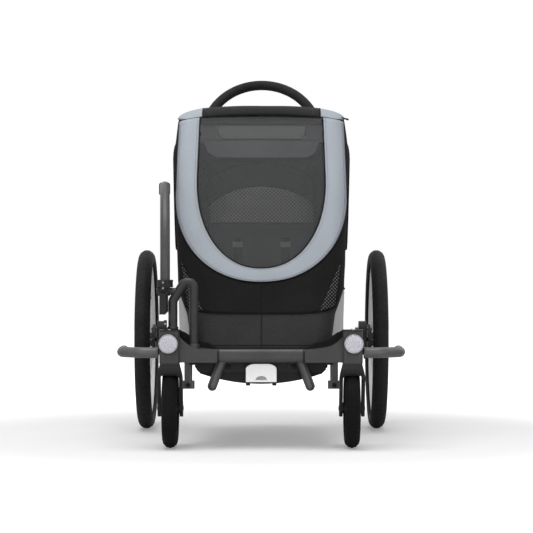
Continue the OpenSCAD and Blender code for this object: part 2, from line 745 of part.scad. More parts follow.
// Grid on the front face between an inner and an outer curve
function front_grid(inner, outer, n, in) = [for (i = [0:n])
    [for (k = [0:len(inner) - 1]) let(p = outer[k] + (inner[k] - outer[k]) * i / n) front_pt(p.x, p.y, in)]];
curve_steps = [for (k = [0:22]) k / 22];
outer_u = both([for (s = curve_steps) u_curve(u_outer, s)]);
inner_u = both([for (s = curve_steps) u_curve(u_inner, s)]);
rim_u = both([for (s = curve_steps) cover_rim(s)]);
// A curve drawn in from its neighbour by the soft gap
function drawn(a, b) = [for (k = [0:len(a) - 1]) a[k] + unit(b[k] - a[k]) * soft_gap];

// Pale band sewn round the window
module cover_band() color("#aab0b7")
    shell(front_grid(inner_u, outer_u, 3, 0), front_grid(inner_u, outer_u, 3, cloth_t));

// Black cloth of the cover outside the band
module cover_skirt() color("#1e1e1e") {
    in = drawn(outer_u, rim_u);
    out = drawn(rim_u, outer_u);
    shell(front_grid(in, out, 4, 0), front_grid(in, out, 4, cloth_t));
}

// Dark mesh window
window_rows = [for (k = [20:-1:0]) u_curve(u_inner, 0.975 * k / 20)];
function window_grid(in) = [for (p = window_rows)
    [for (j = [-8:8]) front_pt((p.x - soft_gap) * j / 8, p.y + soft_gap, in)]];
module cover_window() color("#505356")
    shell(window_grid(0), window_grid(cloth_t));

// Grey panel between the seam and the crossbar
function lower_grid(in) = [for (i = [0:6])
    [for (j = [-14:14]) let(x = j / 14, z0 = cabin_low_z, z1 = seam(x * front_x(seam_z)) - 2 * soft_gap)
        let(z = z0 + (z1 - z0) * i / 6) front_pt(x * front_x(z), z, in)]];
module lower_panel() color("#333333")
    shell(lower_grid(0), lower_grid(cloth_t));

// Side panels: a pale stiff skirt below and black cloth above
function side_grid(z0, z1, n, in, end_x) = [for (i = [0:n])
    [for (j = [0:20]) side_pt(side_start + (1 - side_start) * j / 20, z0 + (z1 - z0) * i / n, in, end_x)]];
skirt_end = post_x + post_d / 2 + 2;
panel_end = rear_half + soft_gap;
module side_skirt() shell(
    side_grid(cabin_low_z, skirt_top, 4, 0, skirt_end),
    side_grid(cabin_low_z, skirt_top, 4, cloth_t, skirt_end));
module side_panel() shell(
    side_grid(skirt_top + soft_gap, panel_top, 12, 0, panel_end),
    side_grid(skirt_top + soft_gap, panel_top, 12, cloth_t, panel_end));
module side_skirt_left() color("#888a8c") on_side(-1) side_skirt();
module side_skirt_right() color("#888a8c") side_skirt();
module side_panel_left() color("#1e1e1e") on_side(-1) side_panel();
module side_panel_right() color("#1e1e1e") side_panel();

// Flat back panel in front of the posts
module rear_panel() color("#202020")
    plate_y(back_y - cloth_t, back_y)
        translate([0, (rear_low + panel_top) / 2]) rounded(2 * rear_half, panel_top - rear_low, 12);

// Crowned roof
roof_back = roof_front + roof_l;
roof_corner = 40;
function bow_height(t) = pow(max(0, 1 - pow(abs(t), 3)), 0.6);
function roof_pt(a, b, in) =
    let(y = (roof_front + roof_back) / 2 + b * (roof_l / 2 - in))
    let(d = max(0, abs(y - (roof_front + roof_back) / 2) - (roof_l / 2 - roof_corner)))
    let(w = eaves_w / 2 - in - roof_corner + sqrt(roof_corner * roof_corner - d * d))
    [a * w, y, eaves_z - in + roof_rise * bow_height(a) * bow_height(b)];
spread = [for (k = [-9:9]) sin(10 * k)];
function roof_grid(in) = [for (b = spread) [for (a = spread) roof_pt(a, b, in)]];
module roof_panel() color("#2d2d2d")
    shell(roof_grid(0), roof_grid(cloth_t));

// Pillow form: crowned face over a flat back, sides drawn in, with sewn channels across
pillow_steps = [for (k = [-10:10]) sin(9 * k)];
function pillow_height(a, b, edge, crown, channels) =
    edge + crown * pow(1 - pow(a, 4), 0.7) * pow(1 - pow(b, 4), 0.7)
    - 0.22 * crown * pow(abs(cos(90 * channels * (b + 1))), 8);
function pillow_grid(w, l, edge, crown, channels, face) = [for (b = pillow_steps) [for (a = pillow_steps)
    [a * w / 2 * (1 - 0.03 * (1 - b * b)), b * l / 2 * (1 - 0.02 * (1 - a * a)),
        face * pillow_height(a, b, edge, crown, channels)]]];
module pillow(w, l, edge, crown, channels)
    shell(pillow_grid(w, l, edge, crown, channels, 1), pillow_grid(w, l, edge, crown, channels, 0));

// Seat cushion on the pan and backrest against the back panel
seat_t = [26, 22];
module seat_cushion() color("#2c2c2c")
    translate([0, (seat_front + seat_back) / 2, pan_top + soft_gap])
        pillow(2 * seat_half, seat_back - seat_front, seat_t[0], seat_t[1], 3);
backrest_z = [334, 752];
backrest_t = [18, 22];
module backrest_cushion() color("#2c2c2c")
    translate([0, back_y - cloth_t - soft_gap, (backrest_z[0] + backrest_z[1]) / 2]) rotate([90, 0, 0])
        pillow(2 * seat_half, backrest_z[1] - backrest_z[0], backrest_t[0], backrest_t[1], 4);

// Shoulder pads, crotch strap and buckle of the belt
pad_x = 66;
pad_w = 30;
pad_z = [440, 590];
pad_t = 8;
buckle_size = [56, 50, 18];
buckle_z = pan_top + seat_t[0] + seat_t[1] + 2 * soft_gap;
buckle_y = 10;
belt_y = back_y - cloth_t - soft_gap - backrest_t[0] - backrest_t[1] - pad_t / 2 - soft_gap;
module harness() color("#181818") {
    for (side = [-1, 1])
        translate([side * pad_x, belt_y, (pad_z[0] + pad_z[1]) / 2]) rotate([90, 0, 0])
            linear_extrude(pad_t, center = true) rounded(pad_w, pad_z[1] - pad_z[0], 9);
    difference() {
        translate([0, buckle_y, buckle_z]) linear_extrude(buckle_size.z) rounded(buckle_size.x, buckle_size.y, 12);
        translate([0, buckle_y, buckle_z + buckle_size.z - 7]) cylinder(h = 8, r = button_r + 4 + button_gap);
    }
}
module buckle_button() color("#b03028")
    translate([0, buckle_y, buckle_z + buckle_size.z - 4]) cylinder(h = 6, r = button_r + 4);

// Two posts with their hinge eyes, hubs and a cross tube
hub_in = post_x - hub_w / 2;
hub_out = post_x + hub_w / 2;
module upright_posts() color("#303030") {
    for (side = [-1, 1])
        on_side(side) {
            difference() {
                union() {
                    rod_x(post_x - eye_w / 2, post_x + eye_w / 2, eye_r, post_y, fold_z);
                    intersection() {
                        translate([post_x, post_y, fold_z]) cylinder(h = hub_z - fold_z, r = post_d / 2);
                        union() {
                            block([post_x - eye_w / 2, 0, fold_z], [post_x + eye_w / 2, rear_y, fold_z + 30]);
                            block([0, 0, fold_z + eye_r + 6], [rear_track, rear_y, hub_z - hub_r - 2]);
                            block([hub_in, 0, fold_z + eye_r + 6], [hub_out, rear_y, hub_z]);
                        }
                    }
                }
                rod_x(0, rear_track, eye_pin_r + running, post_y, fold_z);
            }
            rod_x(hub_in, hub_out, hub_r, post_y, hub_z);
            rod_x(handle_x - 2, bow_x + bow_eye_w / 2 + 2, hub_pin_r, post_y, hub_z);
        }
    rod_x(-post_x, post_x, cross_r, cross_y, cross_z);
}

// Bow that holds the roof's edges, hinged on the hubs
bow_tilt = atan2(bow_front_z - hub_z, post_y - bow_front);
bow_l = norm([bow_front_z - hub_z, post_y - bow_front]);
bow_eye_r = 14;
module canopy_bow() color("#303030") difference() {
    union() {
        translate([0, post_y, hub_z]) rotate([-bow_tilt, 0, 0])
            route_rod([[-bow_x, 0], [-bow_x, -bow_l], [bow_x, -bow_l], [bow_x, 0]], bow_d / 2, bow_bend);
        for (side = [-1, 1])
            on_side(side) rod_x(bow_x - bow_eye_w / 2, bow_x + bow_eye_w / 2, bow_eye_r, post_y, hub_z);
    }
    rod_x(-rear_track, rear_track, hub_pin_r + running, post_y, hub_z);
}

// Handlebar hoop with an eye at each end, and the foam sleeve on it
module hoop(r, from, to)
    translate([0, post_y, hub_z]) rotate([90 - handle_tilt, 0, 0]) rotate([0, 0, from])
        rotate_extrude(angle = to - from) translate([handle_x, 0]) circle(r);
handle_eye_r = post_d / 2 - 0.5;
module handlebar_tube() color("#202020") difference() {
    union() {
        hoop(handle_r, 0, 180);
        for (side = [-1, 1])
            on_side(side) rod_x(handle_x - handle_eye_w / 2, hub_in - move_gap, handle_eye_r, post_y, hub_z);
    }
    rod_x(-rear_track, rear_track, hub_pin_r + running, post_y, hub_z);
}
grip_from = 14;
module handlebar_grip() color("#1a1a1a") difference() {
    hoop(grip_d / 2, grip_from, 180 - grip_from);
    hoop(handle_r + running, grip_from - 5, 185 - grip_from);
}

// Rear wheels, made for the right side
module rear_tyre() translate([wheel_x, rear_y, axle_z]) rotate([0, 90, 0]) rotate_extrude() intersection() {
    translate([rear_r - tyre_w / 2, 0]) circle(tyre_w / 2);
    translate([rim_out + 0.1, -tyre_w]) square([rear_r, 2 * tyre_w]);
}
// Deep rim and the spokes laced in it
module rear_rim() translate([wheel_x, rear_y, axle_z]) rotate([0, 90, 0]) {
    rotate_extrude() polygon([[rim_in, -4], [rim_in, 4], [rim_out - 6, rim_half], [rim_out, rim_half],
        [rim_out, -rim_half], [rim_out - 6, -rim_half]]);
    for (k = [0:spoke_count - 1]) {
        lean = flange_x[(k + 1) % 2] - wheel_x;
        rotate([0, 0, 360 * k / spoke_count]) translate([flange_r - 4, 0, lean])
            rotate([0, atan2(rim_in + 3 - flange_r + 4, -lean), 0])
                cylinder(h = norm([rim_in + 3 - flange_r + 4, lean]), r = spoke_r, $fn = 16);
    }
}
// Hub with two spoke flanges and a drilled brake disc
module rear_hub() difference() {
    union() {
        rod_x(hub_len[0], hub_len[1], hub_body_r, rear_y, axle_z);
        rod_x(hub_len[0], hub_len[0] + disc_t, disc_r, rear_y, axle_z);
        for (x = flange_x)
            rod_x(x - flange_t / 2, x + flange_t / 2, flange_r, rear_y, axle_z);
    }
    rod_x(hub_len[0] - 1, stub_end + 0.5, stub_r + running, rear_y, axle_z);
    rod_x(hub_len[1] - 8, hub_len[1] + 1, button_r + button_gap, rear_y, axle_z);
    for (k = [0:brake_hole_n - 1])
        translate([0, rear_y, axle_z]) rotate([360 * k / brake_hole_n, 0, 0])
            rod_x(hub_len[0] - 1, hub_len[0] + disc_t + 1, brake_r + 0.8, 0, brake_pitch);
}
// Push button that frees the wheel from its stub axle
module wheel_button() rod_x(hub_len[1] - 6, hub_len[1] + 2.5, button_r, rear_y, axle_z);
module rear_tyre_left() color("#1b1b1b") on_side(-1) rear_tyre();
module rear_tyre_right() color("#1b1b1b") rear_tyre();
module rear_rim_left() color("#242424") on_side(-1) rear_rim();
module rear_rim_right() color("#242424") rear_rim();
module rear_hub_left() color("#2a2a2a") on_side(-1) rear_hub();
module rear_hub_right() color("#2a2a2a") rear_hub();
module wheel_button_left() color("#555555") on_side(-1) wheel_button();
module wheel_button_right() color("#555555") wheel_button();

// Castor fork with its steering pin and axle bolt, made for the right side
module castor_fork() {
    crown_top = head_bottom - soft_gap;
    difference() {
        plate_y(steer_y - crown_depth[0], steer_y + crown_depth[1])
            polygon([[steer_x - crown_half, crown_top], [steer_x + crown_half, crown_top],
                [steer_x + fork_half, crown_low + 8], [steer_x + fork_half, crown_low],
                [steer_x - fork_half, crown_low], [steer_x - fork_half, crown_low + 8]]);
        rod_x(steer_x - fork_gap / 2, steer_x + fork_gap / 2, castor_r + 4, castor_y, castor_r);
    }
    for (side = [-1, 1]) {
        plate_x(steer_x + side * fork_gap / 2, steer_x + side * fork_half)
            link([steer_y + 8, crown_low + 4], [castor_y, castor_r], leg_r - 4, leg_r);
        rod_x(steer_x + side * fork_half, steer_x + side * (fork_half + 4), castor_pin_r + 4, castor_y, castor_r);
    }
    rod_x(steer_x - fork_half, steer_x + fork_half, castor_pin_r, castor_y, castor_r);
    translate([steer_x, steer_y, crown_top - 4]) cylinder(h = steerer_l + 4, r = steerer_r);
}
module castor_tyre() translate([steer_x, castor_y, castor_r]) rotate([0, 90, 0]) rotate_extrude() intersection() {
    translate([castor_r - castor_tyre_w / 2, 0]) circle(castor_tyre_w / 2);
    translate([castor_rim_r + 0.1, -castor_tyre_w]) square([castor_r, 2 * castor_tyre_w]);
}
// Moulded castor wheel: hub, web and rim in one
module castor_wheel() translate([steer_x, castor_y, castor_r]) rotate([0, 90, 0]) difference() {
    union() {
        cylinder(h = fork_gap - 2 * move_gap, r = castor_hub_r, center = true);
        cylinder(h = 8, r = castor_rim_r - 6, center = true);
        rotate_extrude() translate([castor_rim_r - 10, -castor_tyre_w / 2 + 6]) square([10, castor_tyre_w - 12]);
    }
    cylinder(h = 2 * fork_gap, r = castor_pin_r + running, center = true);
    for (k = [0:4])
        rotate([0, 0, 72 * k]) translate([castor_rim_r / 2 + 3, 0, 0]) cylinder(h = 20, r = 11, center = true);
}
module castor_fork_left() color("#333333") on_side(-1) castor_fork();
module castor_fork_right() color("#333333") castor_fork();
module castor_tyre_left() color("#1e1e1e") on_side(-1) castor_tyre();
module castor_tyre_right() color("#1e1e1e") castor_tyre();
module castor_wheel_left() color("#2e2e2e") on_side(-1) castor_wheel();
module castor_wheel_right() color("#2e2e2e") castor_wheel();

front_crossbar();
castor_head_left();
castor_head_right();
head_lids();
front_lamps();
wheel_guards();
tube_caps();
side_rails();
under_beam();
stand_feet();
kit_receivers();
receiver_bolts();
reflector_plate();
floor_tub();
seat_pan();
rear_axle_beam();
axle_carriers();
brake_pedal();
brake_pin_left();
brake_pin_right();
fold_brackets();
drawbar_bracket();
drawbar_pin();
drawbar_knuckle();
drawbar_arm();
hitch_coupler();
hitch_button();
drawbar_lever();
lower_panel();
side_skirt_left();
side_skirt_right();
side_panel_left();
side_panel_right();
rear_panel();
roof_panel();
cover_band();
cover_window();
cover_skirt();
seat_cushion();
backrest_cushion();
harness();
buckle_button();
upright_posts();
canopy_bow();
handlebar_tube();
handlebar_grip();
rear_tyre_left();
rear_tyre_right();
rear_rim_left();
rear_rim_right();
rear_hub_left();
rear_hub_right();
wheel_button_left();
wheel_button_right();
castor_fork_left();
castor_fork_right();
castor_tyre_left();
castor_tyre_right();
castor_wheel_left();
castor_wheel_right();
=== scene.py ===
import math

import bmesh
import bpy
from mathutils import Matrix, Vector, noise
from mathutils.bvhtree import BVHTree
from mathutils.geometry import tessellate_polygon


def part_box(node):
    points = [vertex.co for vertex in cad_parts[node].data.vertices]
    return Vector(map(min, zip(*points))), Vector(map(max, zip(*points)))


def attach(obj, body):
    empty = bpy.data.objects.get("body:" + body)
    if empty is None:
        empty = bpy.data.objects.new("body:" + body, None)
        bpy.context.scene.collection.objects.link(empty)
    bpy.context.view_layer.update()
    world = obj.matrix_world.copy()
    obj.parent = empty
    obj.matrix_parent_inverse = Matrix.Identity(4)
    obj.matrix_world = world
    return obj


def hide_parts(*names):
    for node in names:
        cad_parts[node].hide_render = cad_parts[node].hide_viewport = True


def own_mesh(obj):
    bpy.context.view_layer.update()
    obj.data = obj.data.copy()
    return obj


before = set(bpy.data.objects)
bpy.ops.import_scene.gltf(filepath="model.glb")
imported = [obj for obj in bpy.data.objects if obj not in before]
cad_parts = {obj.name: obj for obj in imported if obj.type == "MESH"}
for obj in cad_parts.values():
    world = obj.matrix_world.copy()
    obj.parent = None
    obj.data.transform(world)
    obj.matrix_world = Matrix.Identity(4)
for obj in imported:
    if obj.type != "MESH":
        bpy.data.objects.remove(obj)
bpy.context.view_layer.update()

# The picture
# A level camera stands a good five metres in front of the trailer, just under half a metre up, with a long
# lens. It sees the front face square on, a finger's breadth off the middle plane.
scene = bpy.context.scene
scene.view_settings.view_transform = "Standard"
camera_data = bpy.data.cameras.new("camera")
camera_data.lens = 138.4
camera_data.sensor_width = 36.0
camera = bpy.data.objects.new("camera", camera_data)
camera.location = (0.0135, -5.5175, 0.454)
camera.rotation_euler = (math.radians(90), 0, 0)
scene.collection.objects.link(camera)
scene.camera = camera

# The studio
# A white floor runs out to a white surround. One large soft lamp hangs over the trailer, two stand low
# beside the camera, and a weak one stands behind on the right. The floor keeps the trailer's shadow.
LAMPS = {
    # place, aim, width, watts
    "overhead": ((-0.3, -0.7, 3.0), (0, 0, 0.3), 2.4, 60),
    "left_front": ((-2.4, -4.8, 0.95), (0, 0, 0.45), 2.2, 33),
    "right_front": ((2.1, -4.6, 0.5), (0, 0, 0.3), 1.6, 32),
    "right_back": ((3.2, 2.6, 2.4), (0, 0, 0.5), 2.2, 20),
}
for lamp_name, (place, aim, width, watts) in LAMPS.items():
    lamp_data = bpy.data.lights.new(lamp_name, "AREA")
    lamp_data.size = width
    lamp_data.energy = watts
    lamp = bpy.data.objects.new(lamp_name, lamp_data)
    lamp.location = place
    lamp.rotation_euler = (Vector(aim) - Vector(place)).to_track_quat("-Z", "Y").to_euler()
    scene.collection.objects.link(lamp)


def math_node(tree, operation, first, second=None):
    """Math node in a tree; each input is a socket or a plain number."""
    node = tree.nodes.new("ShaderNodeMath")
    node.operation = operation
    for index, value in enumerate((first, second)):
        if isinstance(value, (int, float)):
            node.inputs[index].default_value = value
        elif value is not None:
            tree.links.new(value, node.inputs[index])
    return node.outputs[0]


def ramp(tree, value, low, high, to_low, to_high):
    """Maps a value from one range to another."""
    node = tree.nodes.new("ShaderNodeMapRange")
    tree.links.new(value, node.inputs["Value"])
    for label, number in zip(("From Min", "From Max", "To Min", "To Max"), (low, high, to_low, to_high)):
        node.inputs[label].default_value = number
    return node.outputs["Result"]


WORLD_LIGHT = 0.3
world = bpy.data.worlds.new("surround")
scene.world = world
world.use_nodes = True
surround = world.node_tree
seen_by = surround.nodes.new("ShaderNodeLightPath").outputs
seen = math_node(surround, "MAXIMUM", seen_by["Is Camera Ray"], seen_by["Is Transmission Ray"])
seen = math_node(surround, "MAXIMUM", seen, seen_by["Is Glossy Ray"])
background = surround.nodes["Background"]
background.inputs["Color"].default_value = (1, 1, 1, 1)
surround.links.new(ramp(surround, seen, 0, 1, WORLD_LIGHT, 1), background.inputs["Strength"])

FLOOR_HALF = 9.0
FLOOR_GREY = 0.82
FLOOR_GLOW = 0.22
GLOW_NEAR = 0.7
GLOW_FAR = 1.7
floor_mesh = bpy.data.meshes.new("floor")
floor_corners = [(x * FLOOR_HALF, y * FLOOR_HALF, 0) for x, y in ((-1, -1), (1, -1), (1, 1), (-1, 1))]
floor_mesh.from_pydata(floor_corners, [], [(0, 1, 2, 3)])
floor = bpy.data.objects.new("floor", floor_mesh)
scene.collection.objects.link(floor)
floor_paint = bpy.data.materials.new("floor_paint")
floor_paint.use_nodes = True
paint = floor_paint.node_tree
paint_shader = paint.nodes["Principled BSDF"]
paint_shader.inputs["Base Color"].default_value = (FLOOR_GREY, FLOOR_GREY, FLOOR_GREY, 1)
paint_shader.inputs["Roughness"].default_value = 0.9
paint_shader.inputs["Specular IOR Level"].default_value = 0.1
floor_reach = paint.nodes.new("ShaderNodeVectorMath")
floor_reach.operation = "LENGTH"
paint.links.new(paint.nodes.new("ShaderNodeTexCoord").outputs["Object"], floor_reach.inputs[0])
glow_level = ramp(paint, floor_reach.outputs["Value"], GLOW_NEAR, GLOW_FAR, FLOOR_GLOW, 1)
glow_level.node.interpolation_type = "SMOOTHSTEP"
floor_seen = paint.nodes.new("ShaderNodeLightPath").outputs["Is Camera Ray"]
glow = paint.nodes.new("ShaderNodeEmission")
paint.links.new(math_node(paint, "MULTIPLY", floor_seen, glow_level), glow.inputs["Strength"])
paint_and_glow = paint.nodes.new("ShaderNodeAddShader")
paint.links.new(paint_shader.outputs[0], paint_and_glow.inputs[0])
paint.links.new(glow.outputs[0], paint_and_glow.inputs[1])
paint.links.new(paint_and_glow.outputs[0], paint.nodes["Material Output"].inputs["Surface"])
floor_mesh.materials.append(floor_paint)


# Crossbar and castor heads
# An extruded middle bar sits between two castings that end in the steering heads. All of it is dark
# grey powder coat, a little lighter on the bar, with plastic lids screwed on top of the heads.
MM = 0.001
SIDES = ((-1, "left"), (1, "right"))


def level(red, green=None, blue=None):
    """Linear colour from the 0 to 255 levels of a screen; one level makes a grey."""
    levels = (red, red if green is None else green, red if blue is None else blue)
    linear = [v / 255 / 12.92 if v < 10.3 else ((v / 255 + 0.055) / 1.055) ** 2.4 for v in levels]
    return (*linear, 1.0)


def new_group(name, inputs, outputs):
    """Empty shader group with number inputs and number outputs."""
    group = bpy.data.node_groups.new(name, "ShaderNodeTree")
    for label, value in inputs.items():
        socket = group.interface.new_socket(label, in_out="INPUT", socket_type="NodeSocketFloat")
        socket.default_value = value
    for label in outputs:
        group.interface.new_socket(label, in_out="OUTPUT", socket_type="NodeSocketFloat")
    return group, group.nodes.new("NodeGroupInput"), group.nodes.new("NodeGroupOutput")


def noise_node(tree, scale, detail=3.0, roughness=0.55):
    """Noise over the object's own coordinates; the scale is a socket or a number of cells in a metre."""
    place = tree.nodes.new("ShaderNodeTexCoord")
    node = tree.nodes.new("ShaderNodeTexNoise")
    node.inputs["Detail"].default_value = detail
    node.inputs["Roughness"].default_value = roughness
    tree.links.new(place.outputs["Object"], node.inputs["Vector"])
    if isinstance(scale, (int, float)):
        node.inputs["Scale"].default_value = scale
    else:
        tree.links.new(scale, node.inputs["Scale"])
    return node.outputs[0]


# Fine pimples of powder coat and moulded plastic, with slow patches of tone
grain, grain_in, grain_out = new_group("coat_grain", {"Size": 0.0012}, ("Height", "Patch"))
grain_scale = math_node(grain, "DIVIDE", 1.0, grain_in.outputs["Size"])
grain.links.new(noise_node(grain, grain_scale, 2.0), grain_out.inputs["Height"])
grain_patch = ramp(grain, noise_node(grain, 14.0, 5.0, 0.65), 0.3, 0.7, 0.0, 1.0)
grain.links.new(grain_patch, grain_out.inputs["Patch"])

# Rubbed edges: where a rounded normal leaves the true one, broken up by noise
rub, rub_in, rub_out = new_group("rubbed_edge", {"Amount": 1.0}, ("Mask",))
soft_normal = rub.nodes.new("ShaderNodeBevel")
soft_normal.samples = 4
soft_normal.inputs["Radius"].default_value = 1.6 * MM
true_normal = rub.nodes.new("ShaderNodeNewGeometry")
turn = rub.nodes.new("ShaderNodeVectorMath")
turn.operation = "DOT_PRODUCT"
rub.links.new(soft_normal.outputs[0], turn.inputs[0])
rub.links.new(true_normal.outputs["Normal"], turn.inputs[1])
rub_edge = ramp(rub, turn.outputs["Value"], 0.97, 0.80, 0.0, 1.0)
rub_breaks = ramp(rub, noise_node(rub, 90.0, 4.0), 0.35, 0.65, 0.15, 1.0)
rub_broken = math_node(rub, "MULTIPLY", rub_edge, rub_breaks)
rub.links.new(math_node(rub, "MULTIPLY", rub_broken, rub_in.outputs["Amount"]), rub_out.inputs["Mask"])

ROUGH_SPREAD = 0.07


def finish(name, colour, rough, pattern, size, depth,
           spread=0.14, rub_to=None, holes=None, shine=0.3, **plain):
    """Material whose tone, roughness and relief follow a pattern group; plain sets the shader's own sockets.
    Holes gives the cover of an open cloth, in the hollows and on the threads of its pattern."""
    material = bpy.data.materials.new(name)
    material.use_nodes = True
    tree = material.node_tree
    shader = tree.nodes["Principled BSDF"]
    shader.inputs["Specular IOR Level"].default_value = shine
    for label, value in plain.items():
        shader.inputs[label.replace("_", " ").title()].default_value = value
    marks = tree.nodes.new("ShaderNodeGroup")
    marks.node_tree = pattern
    marks.inputs[0].default_value = size
    tone = tree.nodes.new("ShaderNodeMix")
    tone.data_type = "RGBA"
    tone.inputs["A"].default_value = (*[c * (1 - spread) for c in colour[:3]], 1)
    tone.inputs["B"].default_value = (*[min(1, c * (1 + spread)) for c in colour[:3]], 1)
    tree.links.new(marks.outputs["Patch"], tone.inputs["Factor"])
    result = tone.outputs["Result"]
    if rub_to is not None:
        worn = tree.nodes.new("ShaderNodeGroup")
        worn.node_tree = rub
        edge = tree.nodes.new("ShaderNodeMix")
        edge.data_type = "RGBA"
        edge.inputs["B"].default_value = rub_to
        tree.links.new(worn.outputs["Mask"], edge.inputs["Factor"])
        tree.links.new(result, edge.inputs["A"])
        result = edge.outputs["Result"]
    tree.links.new(result, shader.inputs["Base Color"])
    polish = ramp(tree, marks.outputs["Patch"], 0, 1, rough + ROUGH_SPREAD, rough - ROUGH_SPREAD)
    tree.links.new(polish, shader.inputs["Roughness"])
    relief = tree.nodes.new("ShaderNodeBump")
    relief.inputs["Distance"].default_value = depth
    tree.links.new(marks.outputs["Height"], relief.inputs["Height"])
    tree.links.new(relief.outputs[0], shader.inputs["Normal"])
    if holes is not None:
        tree.links.new(ramp(tree, marks.outputs["Height"], 0.3, 0.6, *holes), shader.inputs["Alpha"])
    return material


def dress(material, *names):
    """Gives CAD nodes a finish."""
    for node_name in names:
        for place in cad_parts[node_name].material_slots:
            place.material = material


COAT_GRAIN = 1.1 * MM
COAT_DEPTH = 0.06 * MM
MOULD_GRAIN = 0.8 * MM


def coat(name, grey, rough, worn_grey, metallic):
    """Powder coat, worn paler along its edges."""
    return finish(name, level(grey), rough, grain, COAT_GRAIN, COAT_DEPTH, rub_to=level(worn_grey),
                  metallic=metallic)


def mould(name, grey, rough, depth, worn_grey):
    """Moulded plastic, worn paler along its edges."""
    return finish(name, level(grey), rough, grain, MOULD_GRAIN, depth * MM, rub_to=level(worn_grey))


bar_coat = coat("bar_coat", 74, 0.42, 118, 0.25)
cast_coat = coat("cast_coat", 70, 0.46, 100, 0.2)
black_mould = mould("black_mould", 28, 0.52, 0.09, 58)
dress(bar_coat, "front_crossbar")
dress(cast_coat, "castor_head_left", "castor_head_right")
dress(black_mould, "head_lids")


def box_mm(node_name):
    """A node's lowest and highest corners in millimetres."""
    low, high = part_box(node_name)
    return Vector(low) / MM, Vector(high) / MM


def make(name, parts, material, body, sharp=42):
    """One piece from parts of (points in millimetres, faces), dressed, and riding a body."""
    points, faces = [], []
    for part_points, part_faces in parts:
        faces += [[index + len(points) for index in face] for face in part_faces]
        points += [Vector(p) * MM for p in part_points]
    mesh = bpy.data.meshes.new(name)
    mesh.from_pydata(points, [], faces)
    tidy = bmesh.new()
    tidy.from_mesh(mesh)
    bmesh.ops.remove_doubles(tidy, verts=tidy.verts, dist=0.01 * MM)
    bmesh.ops.recalc_face_normals(tidy, faces=tidy.faces)
    tidy.to_mesh(mesh)
    tidy.free()
    mesh.polygons.foreach_set("use_smooth", [True] * len(mesh.polygons))
    mesh.set_sharp_from_angle(angle=math.radians(sharp))
    mesh.materials.append(material)
    piece = bpy.data.objects.new(name, mesh)
    scene.collection.objects.link(piece)
    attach(piece, body)
    return piece


def skin(loops, first=True, last=True):
    """Part through loops of equal count, each joined to the next; first and last close its two ends."""
    count, end = len(loops[0]), len(loops) - 1
    faces = []
    for i in range(end):
        low, high = i * count, (i + 1) * count
        faces += [[low + k, low + (k + 1) % count, high + (k + 1) % count, high + k] for k in range(count)]
    faces += [list(range(count))[::-1]] if first else []
    faces += [list(range(end * count, (end + 1) * count))] if last else []
    return [point for loop in loops for point in loop], faces


def ring(steps):
    """Cosine and sine of each step of a full turn."""
    return [(math.cos(2 * math.pi * k / steps), math.sin(2 * math.pi * k / steps)) for k in range(steps)]


def turned(profile, foot, axis, steps=32, **ends):
    """Part turned about an axis: the profile lists (radius, distance along the axis) from end to end."""
    foot, axis = Vector(foot), Vector(axis).normalized()
    side = axis.orthogonal().normalized()
    over = axis.cross(side)
    return skin([[foot + axis * along + (side * c + over * s) * radius for c, s in ring(steps)]
                 for radius, along in profile], **ends)


def screw(foot, axis, radius, height):
    """Button head screw with a hexagon socket."""
    profile = [(radius, 0), (radius, 0.45 * height), (0.82 * radius, 0.85 * height),
               (0.6 * radius, height), (0.42 * radius, height)]
    head = turned(profile, foot, axis, 24, last=False)
    socket = turned([(0.42 * radius, height), (0.40 * radius, 0.4 * height)], foot, axis, 6, first=False)
    return head[0] + socket[0], head[1] + [[i + len(head[0]) for i in face] for face in socket[1]]


steel = finish("plain_steel", level(150, 150, 153), 0.33, grain, 2 * MM, 0.02 * MM, metallic=0.9)
lid_low, lid_high = box_mm("head_lids")
head_y = (lid_low.y + lid_high.y) / 2
LID_SCREW_X = 227
LID_SCREW_REACH = 19
lid_screws = [screw((side * LID_SCREW_X, head_y + reach, lid_high.z - 0.2), (0, 0, 1), 4.2, 2.2)
              for side in (-1, 1) for reach in (-LID_SCREW_REACH, LID_SCREW_REACH)]
make("lid_screws", lid_screws, steel, "chassis")


def rounded_bar(x0, x1, middle, half_y, half_z, bend, steps=6):
    """Short length of bar along X with a rounded section."""
    section = []
    for turn_y, turn_z, first in ((1, 1, 0), (-1, 1, 90), (-1, -1, 180), (1, -1, 270)):
        for k in range(steps + 1):
            angle = math.radians(first + 90 * k / steps)
            section.append((middle[0] + turn_y * (half_y - bend) + bend * math.cos(angle),
                            middle[1] + turn_z * (half_z - bend) + bend * math.sin(angle)))
    return skin([[(x, y, z) for y, z in section] for x in (x0, x1)])


# Painted shade: black rings, a little proud, at the bar's two joints stand for the shadow in the joint
# grooves.
JOINT_W = 6.5
JOINT_PROUD = 0.5
JOINT_INSET = 0.1
BAR_ROUND = 10
bar_low, bar_high = box_mm("front_crossbar")
bar_mid = ((bar_low.y + bar_high.y) / 2, (bar_low.z + bar_high.z) / 2)
shade_ring_half_y = (bar_high.y - bar_low.y) / 2 + JOINT_PROUD
shade_ring_half_z = (bar_high.z - bar_low.z) / 2 + JOINT_PROUD
groove_shade_rings = [rounded_bar(x, x + JOINT_W, bar_mid, shade_ring_half_y, shade_ring_half_z, BAR_ROUND)
           for x in (bar_low.x + JOINT_INSET, bar_high.x - JOINT_INSET - JOINT_W)]
make("bar_joint_shade_rings", groove_shade_rings, black_mould, "chassis")

